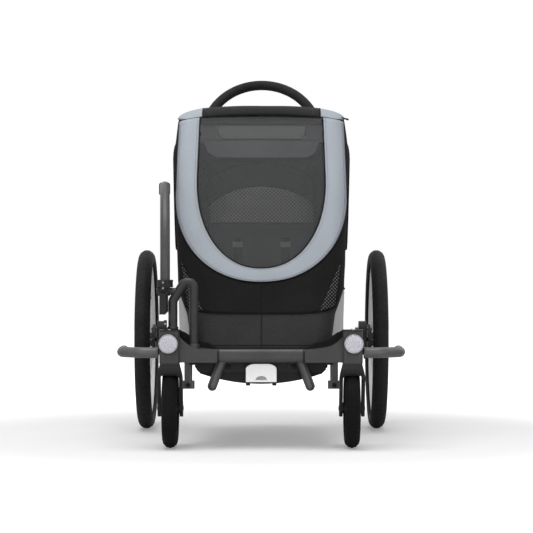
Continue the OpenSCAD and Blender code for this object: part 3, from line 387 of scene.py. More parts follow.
# Fillets of the castings and the rubber lips on them, from the bar up to the lids
WEB_LINE = [(110, 249), (131, 252), (150, 254), (167, 257.5), (181, 263), (195, 274), (203, 281)]
WEB_FOOT_Z = 240
WEB_STEPS = 24
WEB_EDGE = 1.5
WEB_Y = {-1: (-425, -412), 1: (-443, -427)}
LIP_LIFT = [(110, 3), (131, 13), (150, 16), (167, 19), (186, 22), (203, 15.5)]
LIP_PROUD = 1.5
LIP_EDGE = 2
lip_black = finish("lip_black", level(20), 0.7, grain, MOULD_GRAIN, 0.09 * MM, shine=0.1)


def reading(place, table):
    """Straight-line reading between the entries of a table of (place, value)."""
    for (p0, v0), (p1, v1) in zip(table, table[1:]):
        if place <= p1:
            return v0 + (v1 - v0) * max(0.0, place - p0) / (p1 - p0)
    return table[-1][1]


def standing_strip(side, low_line, high_line, y0, y1, edge):
    """Strip that stands on a line of (x, z), with its two upper edges cut."""
    return skin([[(side * x, y, z) for y, z in ((y0, z0), (y0, z1 - edge), (y0 + edge, z1),
                                                (y1 - edge, z1), (y1, z1 - edge), (y1, z0))]
                 for (x, z0), (_, z1) in zip(low_line, high_line)])


web_start, web_end = WEB_LINE[0][0], WEB_LINE[-1][0]
web_places = [web_start + (web_end - web_start) * k / WEB_STEPS for k in range(WEB_STEPS + 1)]
web_foot = [(x, WEB_FOOT_Z) for x in web_places]
web_top = [(x, reading(x, WEB_LINE)) for x in web_places]
lip_foot = [(x, z - 1) for x, z in web_top]
lip_top = [(x, z + reading(x, LIP_LIFT)) for x, z in web_top]
for side, side_name in SIDES:
    y0, y1 = WEB_Y[side]
    web = standing_strip(side, web_foot, web_top, y0, y1, WEB_EDGE)
    make(f"casting_fillet_{side_name}", [web], cast_coat, "chassis")
    lip = standing_strip(side, lip_foot, lip_top, y0 - LIP_PROUD, y1 + LIP_PROUD, LIP_EDGE)
    make(f"casting_lip_{side_name}", [lip], lip_black, "chassis")


# Lamps
# Round white prismatic lenses, pressed into the bezels of the heads. Their faces are moulded in
# small square pyramids that catch light from every side.
LENS_PITCH = 5.6
LENS_PEAK = 1.7
LENS_DOME = 3.0
LENS_RINGS = 26
LENS_STEPS = 96


def fold_wave(value):
    """Triangle wave from 0 to 1 over one pitch of the lens."""
    return 1 - abs(2 * ((value / LENS_PITCH) % 1.0) - 1)


def lens_part(centre, radius, front, back):
    """Domed disc whose face is covered in pyramids; it looks along -Y."""
    loops = []
    for i in range(LENS_RINGS + 1):
        dome = LENS_DOME * (i / LENS_RINGS) ** 4
        peak = LENS_PEAK if i < LENS_RINGS - 2 else 0.0
        loop = []
        for c, s in ring(LENS_STEPS):
            x, z = radius * i / LENS_RINGS * c, radius * i / LENS_RINGS * s
            prism = peak * min(fold_wave(x + z), fold_wave(x - z))
            loop.append((centre[0] + x, front + dome - prism + LENS_PEAK, centre[1] + z))
        loops.append(loop)
    loops.append([(x, back, z) for x, _, z in loops[-1]])
    return skin(loops, first=False)


lens_white = finish("lens_white", level(214, 213, 222), 0.2, grain, 3 * MM, 0.03 * MM, spread=0.06,
                    coat_weight=0.8, coat_roughness=0.08)
lamp_low, lamp_high = box_mm("front_lamps")
lens_r = (lamp_high.z - lamp_low.z) / 2
lens_z = (lamp_low.z + lamp_high.z) / 2
BEZEL_FACE_Y = -463.4
BEZEL_PROFILE = ((0.5, 0), (2.6, 0), (2.6, 0.8), (1.6, 1.6), (0.5, 0.8), (0.5, 0))
bezel_profile = [(lens_r + wider, lift) for wider, lift in BEZEL_PROFILE]
for side, side_name in SIDES:
    lens_x = side * (lamp_high.x - lens_r)
    lens = make(f"lamp_lens_{side_name}", [lens_part((lens_x, lens_z), lens_r, lamp_low.y, lamp_high.y)],
                lens_white, "chassis", sharp=20)
    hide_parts("front_lamps")
    bezel = turned(bezel_profile, (lens_x, BEZEL_FACE_Y, lens_z), (0, -1, 0), 64, first=False, last=False)
    make(f"lamp_bezel_{side_name}", [bezel], black_mould, "chassis")


# Wheel guards
# Bent aluminium tubes beside the heads, coated like the crossbar, with plastic plugs in their open
# ends. Each is welded to the outer face of its head.
def bend_route(corners, radius, steps=10):
    """Points of a route with its corners rounded to one radius."""
    corners = [Vector(c) for c in corners]
    route = [corners[0]]
    for before, corner, after in zip(corners, corners[1:], corners[2:]):
        a, b = (before - corner).normalized(), (after - corner).normalized()
        half = a.angle(b) / 2
        centre = corner + (a + b).normalized() * radius / math.sin(half)
        start = (corner + a * radius / math.tan(half)) - centre
        for k in range(steps + 1):
            angle = (math.pi - 2 * half) * k / steps
            route.append(centre + start * math.cos(angle) - a * radius * math.sin(angle))
    return route + [corners[-1]]


def tube(route, radius, sides=24, closed=False):
    """Round tube along a route; the radius is one number or a list with one for each point."""
    route = [Vector(p) for p in route]
    last = len(route) - 1
    radii = radius if isinstance(radius, (list, tuple)) else [radius] * len(route)
    loops, side = [], None
    for i, place in enumerate(route):
        ahead = route[(i + 1) % len(route)] if closed else route[min(i + 1, last)]
        behind = route[i - 1] if closed else route[max(i - 1, 0)]
        way = (ahead - behind).normalized()
        side = way.orthogonal() if side is None else side - way * side.dot(way)
        side.normalize()
        over = way.cross(side)
        loops.append([place + (side * c + over * s) * radii[i] for c, s in ring(sides)])
    return skin(loops + loops[:1], first=False, last=False) if closed else skin(loops)


guard_coat = coat("guard_coat", 94, 0.4, 128, 0.3)
GUARD_R = 13.25
GUARD_BEND = 34
GUARD_OUT = 45
WELD_R = 2.2
WELD_PROUD = 0.4
guard_low, guard_high = box_mm("wheel_guards")
guard_z = (guard_low.z + guard_high.z) / 2
guard_start_y = guard_low.y + GUARD_R
guard_line_x = guard_high.x - GUARD_R
head_side_x = box_mm("castor_head_right")[1].x
guard_corners = [(head_side_x, guard_start_y, guard_z), (head_side_x + GUARD_OUT, guard_start_y, guard_z),
                 (guard_line_x, head_y + GUARD_OUT, guard_z), (guard_line_x, guard_high.y, guard_z)]
for side, side_name in SIDES:
    route = [(side * p.x, p.y, p.z) for p in bend_route(guard_corners, GUARD_BEND)]
    weld = [(side * (head_side_x + WELD_PROUD), guard_start_y + GUARD_R * c, guard_z + GUARD_R * s)
            for c, s in ring(40)]
    guard_parts = [tube(route, GUARD_R, 28), tube(weld, WELD_R, 8, closed=True)]
    guard = make(f"wheel_guard_{side_name}", guard_parts, guard_coat, "chassis")
    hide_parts("wheel_guards")
dress(black_mould, "tube_caps")


# Rails and the plate under the floor Two square tubes run back to the axle beam.
frame_coat = coat("frame_coat", 42, 0.45, 84, 0.2)
stand_coat = coat("stand_coat", 104, 0.36, 130, 0.35)
dress(frame_coat, "side_rails", "under_beam", "rear_axle_beam", "axle_carriers")
dress(stand_coat, "kit_receivers", "stand_feet")
hardware_black = finish("hardware_black", level(36), 0.4, grain, 2 * MM, 0.02 * MM, rub_to=level(70),
                        metallic=0.5)
dress(hardware_black, "receiver_bolts")
bolt_low, bolt_high = box_mm("receiver_bolts")
bolt_r = (bolt_high.z - bolt_low.z) / 2
bolt_z = (bolt_high.z + bolt_low.z) / 2
bolt_heads = [screw((side * (bolt_high.x - bolt_r), bolt_low.y + 0.2, bolt_z), (0, -1, 0), bolt_r - 0.6, 3)
              for side in (-1, 1)]
make("receiver_bolt_heads", bolt_heads, hardware_black, "chassis")
BOSS_X = 83
BOSS_LIFT = 14
BOSS_FACE_Y = -299.2
BOSS_SCREW_R = 6
boss_z = box_mm("under_beam")[0].z + BOSS_LIFT
boss_screws = [screw((side * BOSS_X, BOSS_FACE_Y, boss_z), (0, -1, 0), BOSS_SCREW_R, 3) for side in (-1, 1)]
make("boss_screws", boss_screws, hardware_black, "chassis")


# Reflector
# A white moulded plate with round upper corners and a half-moon recess with a grey inlay. A black holder
# grips it from behind, with clips at its top corners and two feet under its lower ones.
# Painted light: the white plate glows by its own emission. This stands for the light a reflector sends back
# and keeps the plate bright in the crossbar's shade.
plate_painted_glow = finish("plate_painted_glow", level(245), 0.3, grain, 2.5 * MM, 0.02 * MM, spread=0.02,
                     coat_weight=0.3, emission_color=(1, 1, 1, 1), emission_strength=0.38)
inlay_grey = finish("inlay_grey", level(196), 0.4, grain, 2.5 * MM, 0.02 * MM, spread=0.05)
plate_low, plate_high = box_mm("reflector_plate")
PLATE_ROUND = (24, 13)
PLATE_DROP = 4
PLATE_EDGE = 0.9
MOON = (15, 11)
MOON_LIFT = 5
MOON_DEPTH = 2.0
right_corner = [(plate_high.x - PLATE_ROUND[0] * (1 - math.cos(t)),
                 plate_high.z - PLATE_DROP - PLATE_ROUND[1] * (1 - math.sin(t)))
                for t in [math.pi / 2 * k / 10 for k in range(11)]]
plate_line = [(-plate_high.x, plate_low.z), (plate_high.x, plate_low.z)] + right_corner
plate_line += [(-x, z) for x, z in reversed(right_corner)]
moon_line = [(MOON[0] * math.cos(t), plate_low.z + MOON_LIFT + MOON[1] * math.sin(t))
             for t in [math.pi * k / 20 for k in range(21)]]
plate_mid_z = (plate_low.z + plate_high.z) / 2
shrink_x, shrink_z = 1 - PLATE_EDGE / plate_high.x, 1 - 2 * PLATE_EDGE / (plate_high.z - plate_low.z)
face_line = [(x * shrink_x, plate_mid_z + (z - plate_mid_z) * shrink_z) for x, z in plate_line]


def at_depth(line, y):
    """Loop of an outline of (x, z) at a place along Y."""
    return [(x, y, z) for x, z in line]


plate_front_y, recess_y = plate_low.y, plate_low.y + MOON_DEPTH
plate_wall = skin([at_depth(face_line, plate_front_y), at_depth(plate_line, plate_front_y + PLATE_EDGE),
                   at_depth(plate_line, plate_high.y)], first=False)
moon_wall = skin([at_depth(moon_line, plate_front_y), at_depth(moon_line, recess_y)], first=False)
plate_front = (at_depth(face_line + moon_line, plate_front_y),
               tessellate_polygon([[Vector((x, z, 0)) for x, z in line] for line in (face_line, moon_line)]))
plate = make("reflector_face", [plate_wall, moon_wall, plate_front], plate_painted_glow, "chassis")
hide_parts("reflector_plate")
inlay = skin([at_depth(moon_line, recess_y - 0.8), at_depth(moon_line, recess_y + 0.4)])
make("reflector_inlay", [inlay], inlay_grey, "chassis")
LUG_W = 11
LUG_DROP = 9
CLIP_W = 12
CLIP_DROP = 14


def slab(low, high, edge=1.0):
    """Box with its edges cut at 45 degrees."""
    (x0, y0, z0), (x1, y1, z1) = low, high
    loops = []
    for z, inset in ((z0, edge), (z0 + edge, 0), (z1 - edge, 0), (z1, edge)):
        corners = ((x0 + edge, y0), (x1 - edge, y0), (x1, y0 + edge), (x1, y1 - edge),
                   (x1 - edge, y1), (x0 + edge, y1), (x0, y1 - edge), (x0, y0 + edge))
        loops.append([(min(max(x, x0 + inset), x1 - inset), min(max(y, y0 + inset), y1 - inset), z)
                      for x, y in corners])
    return skin(loops)


grips = []
for side in (-1, 1):
    foot_x = side * (plate_high.x - LUG_W / 2)
    clip_x = side * (plate_high.x - CLIP_W / 2)
    grips.append(slab((foot_x - LUG_W / 2, plate_low.y - 1, plate_low.z - LUG_DROP),
                      (foot_x + LUG_W / 2, plate_high.y + 1, plate_low.z - 0.2)))
    grips.append(slab((clip_x - CLIP_W / 2, plate_low.y + 2.5, plate_high.z - CLIP_DROP),
                      (clip_x + CLIP_W / 2, plate_high.y + 2, plate_high.z + 3)))
make("reflector_holder", grips, black_mould, "chassis")


# Floor and seat pan
# The floor is one deep moulding in black plastic with a round bottom. The pressed seat pan rests on the
# rails above it, and four screws hold each long edge.
dress(black_mould, "floor_tub", "seat_pan")
pan_low, pan_high = box_mm("seat_pan")
PAN_SCREWS = 4
PAN_SCREW_INSET = 8
pan_screw_x = pan_high.x - PAN_SCREW_INSET
pan_start = pan_low.y + 2 * PAN_SCREW_INSET
pan_run = (pan_high.y - pan_low.y - 4 * PAN_SCREW_INSET) / (PAN_SCREWS - 1)
pan_screws = [screw((side * pan_screw_x, pan_start + k * pan_run, pan_high.z - 0.2), (0, 0, 1), 4, 2)
              for side in (-1, 1) for k in range(PAN_SCREWS)]
make("pan_screws", pan_screws, steel, "chassis")


# Rear wheels
# Bright aluminium rims with laced spokes turn on hubs that slip over the stub axles, and a button on each
# hub frees the wheel. The tyres have low chevron blocks on a narrow tread.
TYRE_BLOCKS = 76
BLOCK_STEPS = 6
BLOCK_DEPTH = 1.1
BLOCK_GAP = 0.2
BLOCK_ROWS = 3
ROW_GAP = 0.16
ROW_SHIFT = 0.5
CHEVRON_LEAN = 0.8
TYRE_ROWS = 36
TREAD_ANGLE = math.radians(50)
WALL_RING_DEPTH = 0.5
WALL_RING_PACE = 34


def tyre_part(centre, outer_r, width, inner_r, groove):
    """Tyre about an axis along X; groove gives the depth cut at a turn and a place across the tread."""
    section = width / 2
    middle = outer_r - section
    reach = math.acos((inner_r - middle) / section)
    steps = TYRE_BLOCKS * BLOCK_STEPS
    loops = []
    for k, (c, s) in enumerate(ring(steps)):
        loop = []
        for i in range(TYRE_ROWS + 1):
            lean = reach * (2 * i / TYRE_ROWS - 1)
            height = section - groove(k / steps, lean)
            r = middle + height * math.cos(lean)
            loop.append((centre.x + height * math.sin(lean), centre.y + r * c, centre.z + r * s))
        loops.append(loop)
    return skin(loops + loops[:1], first=False, last=False)


def road_groove(turn_share, lean):
    """Depth of the chevron tread, and of the mould rings on the side walls."""
    if abs(lean) > TREAD_ANGLE:
        return WALL_RING_DEPTH * max(0.0, math.sin(abs(lean) * WALL_RING_PACE)) ** 6
    band = abs(lean) / TREAD_ANGLE
    row = band * BLOCK_ROWS
    between_rows = abs(row - round(row)) < ROW_GAP and 0.1 < band < 0.95
    phase = (turn_share * TYRE_BLOCKS + ROW_SHIFT * int(row) + CHEVRON_LEAN * band) % 1.0
    return BLOCK_DEPTH if between_rows or phase < BLOCK_GAP else 0.0


rubber = finish("tyre_rubber", level(24), 0.8, grain, 1.6 * MM, 0.12 * MM, spread=0.22, rub_to=level(52))
rim_bright = finish("rim_bright", level(226, 227, 229), 0.34, grain, COAT_GRAIN, 0.03 * MM, spread=0.04,
                    metallic=0.25)
hub_grey = mould("hub_grey", 48, 0.4, 0.05, 84)
dress(rim_bright, "rear_rim_left", "rear_rim_right")
dress(hub_grey, "rear_hub_left", "rear_hub_right", "wheel_button_left", "wheel_button_right")
SPOKES = 20
SPOKE_FOOT_R = 30
FLANGE_REACH = 15
RIM_DEPTH = 20
NIPPLE_L = 13
NIPPLE_R = 2.3
HUB_CAP = [(19, -3), (19, 0.4), (17.5, 1.6), (13, 2.0), (9.4, 2.0), (9.0, 1.2), (8.4, 0.2)]
VALVE = [(4, 0), (4, 3), (3, 4), (3, 18), (2.4, 19), (3.4, 20), (3.4, 31), (2, 34)]
VALVE_TURN = 0.16
rim_low, rim_high = box_mm("rear_rim_right")
rim_out = (rim_high.z - rim_low.z) / 2
rim_in = rim_out - RIM_DEPTH
for side, side_name in SIDES:
    body = f"rear_wheel_{side_name}"
    low, high = box_mm(f"rear_tyre_{side_name}")
    centre = (low + high) / 2
    tread = tyre_part(centre, (high.z - low.z) / 2, high.x - low.x, rim_out + 0.1, road_groove)
    tyre = make(f"rear_tyre_tread_{side_name}", [tread], rubber, body, sharp=28)
    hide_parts(f"rear_tyre_{side_name}")
    nipples = []
    for k in range(SPOKES):
        spin = -2 * math.pi * k / SPOKES
        out = Vector((0, math.sin(spin), -math.cos(spin)))
        lean = side * FLANGE_REACH * (1 if k % 2 == 0 else -1)
        foot = centre + out * SPOKE_FOOT_R + Vector((lean, 0, 0))
        seat = centre + out * (rim_in + 3)
        way = (seat - foot).normalized()
        nipple = [(1.4, 0), (NIPPLE_R, 2), (NIPPLE_R, NIPPLE_L)]
        nipples.append(turned(nipple, seat - way * NIPPLE_L, way, 10))
    make(f"spoke_nipples_{side_name}", nipples, hardware_black, body)
    hub_low, hub_high = box_mm(f"rear_hub_{side_name}")
    face_x = hub_high.x if side > 0 else hub_low.x
    cap = turned(HUB_CAP, (face_x, centre.y, centre.z), (side, 0, 0), 48, first=False, last=False)
    make(f"hub_cap_{side_name}", [cap], black_mould, body)
    valve_out = Vector((0, math.sin(VALVE_TURN), math.cos(VALVE_TURN)))
    valve = turned(VALVE, centre + valve_out * (rim_in + 2), -valve_out, 16)
    make(f"tyre_valve_{side_name}", [valve], black_mould, body)


# Castors
# Two small wheels with thick plain tyres run in moulded forks that swivel under the heads. Each wheel is
# one moulding with five round openings, on an axle bolt with capped ends.
CASTOR_GROOVES = (math.radians(16), math.radians(44))
GROOVE_HALF = math.radians(4)
SHOULDER_ANGLE = math.radians(66)
CASTOR_RING_DEPTH = 1.2
CASTOR_CUT_DEPTH = 0.8
CASTOR_CUT_SHARE = 0.17


def castor_groove(turn_share, lean):
    """Depth of the rings round the tread and of fine cuts across its outer bands."""
    if any(abs(abs(lean) - place) < GROOVE_HALF for place in CASTOR_GROOVES):
        return CASTOR_RING_DEPTH
    cut = (turn_share * TYRE_BLOCKS) % 1.0 < CASTOR_CUT_SHARE
    return CASTOR_CUT_DEPTH if cut and CASTOR_GROOVES[0] < abs(lean) < SHOULDER_ANGLE else 0.0


fork_black = mould("fork_black", 30, 0.42, 0.07, 80)
castor_rubber = finish("castor_rubber", level(15), 0.8, grain, 1.6 * MM, 0.12 * MM, spread=0.2,
                       rub_to=level(34), shine=0.15)
castor_grey = mould("castor_grey", 42, 0.45, 0.07, 84)
dress(castor_grey, "castor_wheel_left", "castor_wheel_right")
CASTOR_RIM_R = 63
FORK_GAP = 23.5
FORK_ARCH_R = 104
FORK_FILLET = 11
STEERER_R = 9
STEERER_FOOT_Z = 206
AXLE_R = 4.9
# Height, and there: place of the front and of the back of a leg
FORK_FRONT = [(79, -397), (84, -402.5), (92, -408), (104, -410.5), (166, -433), (180, -447), (190, -455),
              (198, -457.5), (214, -457.5)]
FORK_BACK = [(79, -382), (84, -376.5), (92, -371), (104, -368.5), (170, -393), (190, -397.5), (214, -397.5)]
# Distance from the wheel's middle, and there: top of a leg
FORK_TOP = [(22.5, 213.6), (23.5, 212), (25.5, 204), (29.2, 190), (31.0, 181), (31.8, 172)]
# Distance from the wheel's middle, and there: how much slimmer a leg is
LEG_SLIM = ((FORK_GAP, 0), (25.5, 0), (27.5, 0), (29.2, 0), (31.0, 0.4), (31.8, 1.8))


def leg_loop(x, slim):
    """Outline of a leg at a distance from the wheel's middle, up its front and down its back."""
    foot = FORK_FRONT[0][0]
    heights = [foot + (reading(x, FORK_TOP) - foot) * k / 24 for k in range(25)]
    front = [(reading(z, FORK_FRONT) + slim, z) for z in heights]
    return front + [(reading(z, FORK_BACK) - slim, z) for z in heights[::-1]]


def crown_loop(x, axle):
    """Outline of the crown over the wheel: its underside is an arch round the axle, filleted to the legs."""
    past = max(0.0, abs(x) - (FORK_GAP - FORK_FILLET))
    arch = FORK_ARCH_R - FORK_FILLET + math.sqrt(FORK_FILLET ** 2 - past ** 2)
    top = FORK_TOP[0][1]
    flanks, feet = [], []
    for table in (FORK_FRONT, FORK_BACK):
        z = top
        while math.hypot(reading(z, table) - axle.y, z - axle.z) > arch:
            z -= 0.25
        feet.append(math.atan2(z - axle.z, reading(z, table) - axle.y))
        flanks.append([(reading(h, table), h) for h in [top + (z - top) * k / 8 for k in range(8)]])
    under = [feet[1] + (feet[0] - feet[1]) * k / 12 for k in range(13)]
    arch_line = [(axle.y + arch * math.cos(t), axle.z + arch * math.sin(t)) for t in under]
    return flanks[0][::-1] + flanks[1] + arch_line


crown_places = [FORK_GAP * math.sin(math.pi / 2 * k / 14) for k in range(-14, 15)]
for side, side_name in SIDES:
    body = f"castor_{side_name}"
    low, high = box_mm(f"castor_tyre_{side_name}")
    centre = (low + high) / 2
    tread = tyre_part(centre, (high.z - low.z) / 2, high.x - low.x, CASTOR_RIM_R + 0.1, castor_groove)
    tyre = make(f"castor_tyre_tread_{side_name}", [tread], castor_rubber, f"front_wheel_{side_name}",
                sharp=28)
    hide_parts(f"castor_tyre_{side_name}")
    fork_low, fork_high = box_mm(f"castor_fork_{side_name}")
    fork_x = (fork_low.x + fork_high.x) / 2
    fork_parts = [skin([[(fork_x + x, y, z) for y, z in crown_loop(x, centre)] for x in crown_places])]
    for way in (-1, 1):
        fork_parts.append(skin([[(fork_x + way * x, y, z) for y, z in leg_loop(x, slim)]
                                for x, slim in LEG_SLIM]))
    steer_foot = (fork_x, (FORK_FRONT[-1][1] + FORK_BACK[-1][1]) / 2, STEERER_FOOT_Z)
    steer_l = fork_high.z - STEERER_FOOT_Z
    steerer = [(STEERER_R, 0), (STEERER_R, steer_l - 1), (STEERER_R - 1, steer_l)]
    fork_parts.append(turned(steerer, steer_foot, (0, 0, 1)))
    fork = make(f"castor_fork_shell_{side_name}", fork_parts, fork_black, body)
    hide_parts(f"castor_fork_{side_name}")
    axle_start = (fork_x - FORK_GAP, centre.y, centre.z)
    bolt_parts = [turned([(AXLE_R, 0), (AXLE_R, 2 * FORK_GAP)], axle_start, (1, 0, 0), 24)]
    for way in (-1, 1):
        leg_side = (fork_x + way * (FORK_TOP[-1][0] - 0.4), centre.y, centre.z)
        bolt_parts.append(screw(leg_side, (way, 0, 0), 6.5, 2.0))
    make(f"castor_axle_bolt_{side_name}", bolt_parts, hardware_black, body)


# Parking brake
# A moulded foot pedal behind the axle turns on a pin and pushes two steel bolts into the drilled discs
# of the hubs. Ribs across the pedal keep a shoe from slipping.
dress(black_mould, "brake_pedal")
dress(steel, "brake_pin_left", "brake_pin_right")
pedal_low, pedal_high = box_mm("brake_pedal")
RIB_COUNT = 6
RIB_R = 1.6
RIB_PITCH = 7
RIB_INSET = 12
PEDAL_TOP_Z = 250
rib_half = (pedal_high.x - pedal_low.x) / 2 - RIB_INSET
ribs = []
for k in range(RIB_COUNT):
    rib_y = pedal_high.y - 8 - RIB_PITCH * k
    ribs.append(tube([(-rib_half, rib_y, PEDAL_TOP_Z), (rib_half, rib_y, PEDAL_TOP_Z)], RIB_R, 10))
make("pedal_ribs", ribs, rubber, "parking_brake")


# Upper frame
# Two coated posts stand in the fold hinges, joined by a cross tube. The roof bow and the handlebar turn
# on pins in the hubs at their tops, and a foam sleeve covers the handlebar.
dress(frame_coat, "upright_posts", "fold_brackets", "handlebar_tube")
foam = finish("grip_foam", level(31), 0.86, grain, 1.5 * MM, 0.3 * MM, spread=0.25)
dress(foam, "handlebar_grip")
BOW_R = 9
BOW_BEND = 50
BOW_EYE_R = 14
BOW_EYE_W = 12
HUB_R = 18
PIN_END_X = 209.5
PIN_CAP = [(9.5, -1.6), (10.5, 0), (10.5, 2), (8.5, 3.4), (3, 3.6)]
bow_low, bow_high = box_mm("canopy_bow")
bow_x = bow_high.x - BOW_R
post_y = bow_high.y - BOW_EYE_R
hub_z = box_mm("upright_posts")[1].z - HUB_R
bow_front = bow_low.y + BOW_R
bow_front_z = bow_high.z - BOW_R
bow_corners = [(-bow_x, post_y, hub_z), (-bow_x, bow_front, bow_front_z),
               (bow_x, bow_front, bow_front_z), (bow_x, post_y, hub_z)]
eye = [(BOW_EYE_R - 1, 0), (BOW_EYE_R, 1), (BOW_EYE_R, BOW_EYE_W - 1), (BOW_EYE_R - 1, BOW_EYE_W)]
bow_parts = [tube(bend_route(bow_corners, BOW_BEND, 12), BOW_R)]
bow_parts += [turned(eye, (side * bow_x - BOW_EYE_W / 2, post_y, hub_z), (1, 0, 0), 40) for side in (-1, 1)]
bow = make("roof_bow_tube", bow_parts, frame_coat, "roof_bow")
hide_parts("canopy_bow")
hub_caps = [turned(PIN_CAP, (side * PIN_END_X, post_y, hub_z), (side, 0, 0), 32) for side in (-1, 1)]
make("hub_pin_caps", hub_caps, black_mould, "upper_frame")
HOOP_R = 157
HOOP_TILT = math.radians(25)
GRIP_FROM = 14
GRIP_RING = [(11, -3), (14.2, -2.6), (14.2, 2.6), (11, 3)]


def hoop_point(angle):
    """Point on the middle line of the handlebar's hoop."""
    lift = HOOP_R * math.sin(angle)
    return Vector((HOOP_R * math.cos(angle), post_y + lift * math.sin(HOOP_TILT),
                   hub_z + lift * math.cos(HOOP_TILT)))


grip_rings = []
for degrees in (GRIP_FROM, 180 - GRIP_FROM):
    spot = math.radians(degrees)
    way = (hoop_point(spot + 0.01) - hoop_point(spot - 0.01)).normalized()
    grip_rings.append(turned(GRIP_RING, hoop_point(spot), way, 32))
make("grip_end_rings", grip_rings, black_mould, "handlebar")


# Drawbar
# A bent stay on the left casting carries the hinge of the drawbar, which stands upright when it isn't in
# use. The tube turns in a collar with a latch, and ends in a coupler with a release button.
stay_coat = coat("stay_coat", 52, 0.44, 88, 0.2)
drawbar_anodised = finish("drawbar_anodised", level(76), 0.42, grain, 2.2 * MM, 0.02 * MM, spread=0.08,
                          metallic=0.3)
red_mould = finish("red_mould", level(150, 26, 24), 0.35, grain, MOULD_GRAIN, 0.05 * MM)
STAY_R = 11.5
STAY_BEND = 15
STAY_ROOT_X = -167
STAY_HINGE_X = -219
STAY_ARCH_Z = 452
STAY_SHOULDER_Z = 369
STAY_COLLAR = [(STAY_R + 1.5, 0), (STAY_R + 2.4, 1), (STAY_R + 2.4, 6), (STAY_R, 9)]
stay_low, stay_high = box_mm("drawbar_bracket")
stay_y = (stay_low.y + stay_high.y) / 2
stay_line = ((STAY_ROOT_X, stay_low.z), (STAY_ROOT_X, STAY_ARCH_Z),
             (STAY_HINGE_X, STAY_SHOULDER_Z), (STAY_HINGE_X, lid_high.z))
stay_parts = [tube(bend_route(at_depth(stay_line, stay_y), STAY_BEND, 12), STAY_R),
              turned(STAY_COLLAR, (STAY_HINGE_X, stay_y, lid_high.z), (0, 0, 1), 32)]
stay = make("drawbar_stay", stay_parts, stay_coat, "chassis")
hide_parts("drawbar_bracket")
dress(stay_coat, "drawbar_pin")
dress(black_mould, "drawbar_knuckle", "hitch_coupler", "drawbar_lever")
dress(drawbar_anodised, "drawbar_arm")
dress(red_mould, "hitch_button")
COLLAR_R = 19.5
COLLAR_RING = [(COLLAR_R - 0.5, 0), (COLLAR_R + 0.9, 0.6), (COLLAR_R + 0.9, 2.4), (COLLAR_R - 0.5, 3)]
LATCH_HALF = 5.5
LATCH_OFFSET = 4
knuckle_high = box_mm("drawbar_knuckle")[1]
drawbar_x = knuckle_high.x - COLLAR_R
collar_top = knuckle_high.z
latch_x, latch_y = drawbar_x - LATCH_OFFSET, stay_y - COLLAR_R
collar_parts = [turned(COLLAR_RING, (drawbar_x, stay_y, collar_top - drop), (0, 0, 1), 40)
                for drop in (4, 17)]
collar_parts.append(slab((latch_x - LATCH_HALF, latch_y - 6, collar_top - 27),
                         (latch_x + LATCH_HALF, latch_y + 4, collar_top - 2)))
make("drawbar_collar_latch", collar_parts, black_mould, "drawbar_hinge")
rivets = [screw((latch_x, latch_y - 5.8, collar_top - drop), (0, -1, 0), 2.6, 1.6) for drop in (7, 21)]
make("drawbar_rivets", rivets, steel, "drawbar_hinge")
HOUSING = ((-252.5, -441, 338), (-231.2, -413, 384))
HOUSING_EDGE = 4
make("drawbar_lock_housing", [slab(*HOUSING, HOUSING_EDGE)], black_mould, "drawbar_hinge")
CATCH = ((-241, -444, 296.5), (-233.6, -428, 321))
CATCH_PIN = [(2.6, 0), (2.6, 1.6), (1.4, 2.2)]
CATCH_PIN_FOOT = (-237.3, -444, 312)
make("lid_catch", [slab(*CATCH)], black_mould, "chassis")
make("lid_catch_pin", [turned(CATCH_PIN, CATCH_PIN_FOOT, (0, -1, 0), 16)], steel, "chassis")


# Lower front panel
# Dark grey coated cloth, laced to the crossbar below and sewn to a raised seam above. A flat-felled seam
# runs down its middle, and a row of stitches holds each of its long edges.
ROOF_RISE = 36
roof_low, roof_high = box_mm("roof_panel")
panel_low = box_mm("lower_panel")[0]
LOW_Z = panel_low.z
EAVES_Z = roof_high.z - ROOF_RISE
FOOT_Y = panel_low.y
FRONT_RUN = roof_low.y - FOOT_Y
FRONT_BULGE = 8
CORNER_R = 45
SEAM_Z = 335
SEAM_LIFT = 20
SKIRT_TOP = 396
SIDE_HALF = [(LOW_Z, 212), (750, 233), (EAVES_Z, 222)]
FRONT_DRAW = [(LOW_Z, 38), (SEAM_Z, 28), (370, 16), (SKIRT_TOP, 8), (580, 4), (EAVES_Z, 2)]


def side_half(z):
    """Half the cabin's width at a height."""
    return reading(z, SIDE_HALF)


def front_half(z):
    """Half the width of the front face, which draws in towards the castors."""
    return side_half(z) - reading(z, FRONT_DRAW)


def front_y(z):
    """Place of the sloping front face at a height."""
    share = (z - LOW_Z) / (EAVES_Z - LOW_Z)
    return FOOT_Y + FRONT_RUN * share - FRONT_BULGE * math.sin(math.pi * share)


def front_point(x, z):
    """Point of the front face, which turns back at its two upright edges."""
    past = min(CORNER_R, max(0.0, abs(x) - (front_half(z) - CORNER_R)))
    return Vector((x, front_y(z) + CORNER_R - math.sqrt(CORNER_R ** 2 - past ** 2), z))


def seam_height(x):
    """Height of the seam between the cover and the lower panel; it lifts towards the corners."""
    return SEAM_Z + SEAM_LIFT * (x / front_half(SEAM_Z)) ** 6


def grid(rows, columns, spot):
    """Rows of points; spot gives the point at a share of the way up and a share of the way along."""
    return [[spot(i / rows, j / columns) for j in range(columns + 1)] for i in range(rows + 1)]


def grid_normals(rows):
    """Unit normal at each point of a grid whose rows go up and columns go right, seen from outside."""
    last_row, last = len(rows) - 1, len(rows[0]) - 1
    normals = []
    for i, row in enumerate(rows):
        below, above = rows[max(i - 1, 0)], rows[min(i + 1, last_row)]
        normals.append([(row[min(j + 1, last)] - row[max(j - 1, 0)]).cross(above[j] - below[j]).normalized()
                        for j in range(last + 1)])
    return normals


def line_length(points):
    """Length of a line of points."""
    return sum((b - a).length for a, b in zip(points, points[1:]))


CLOTH_T = 1.4


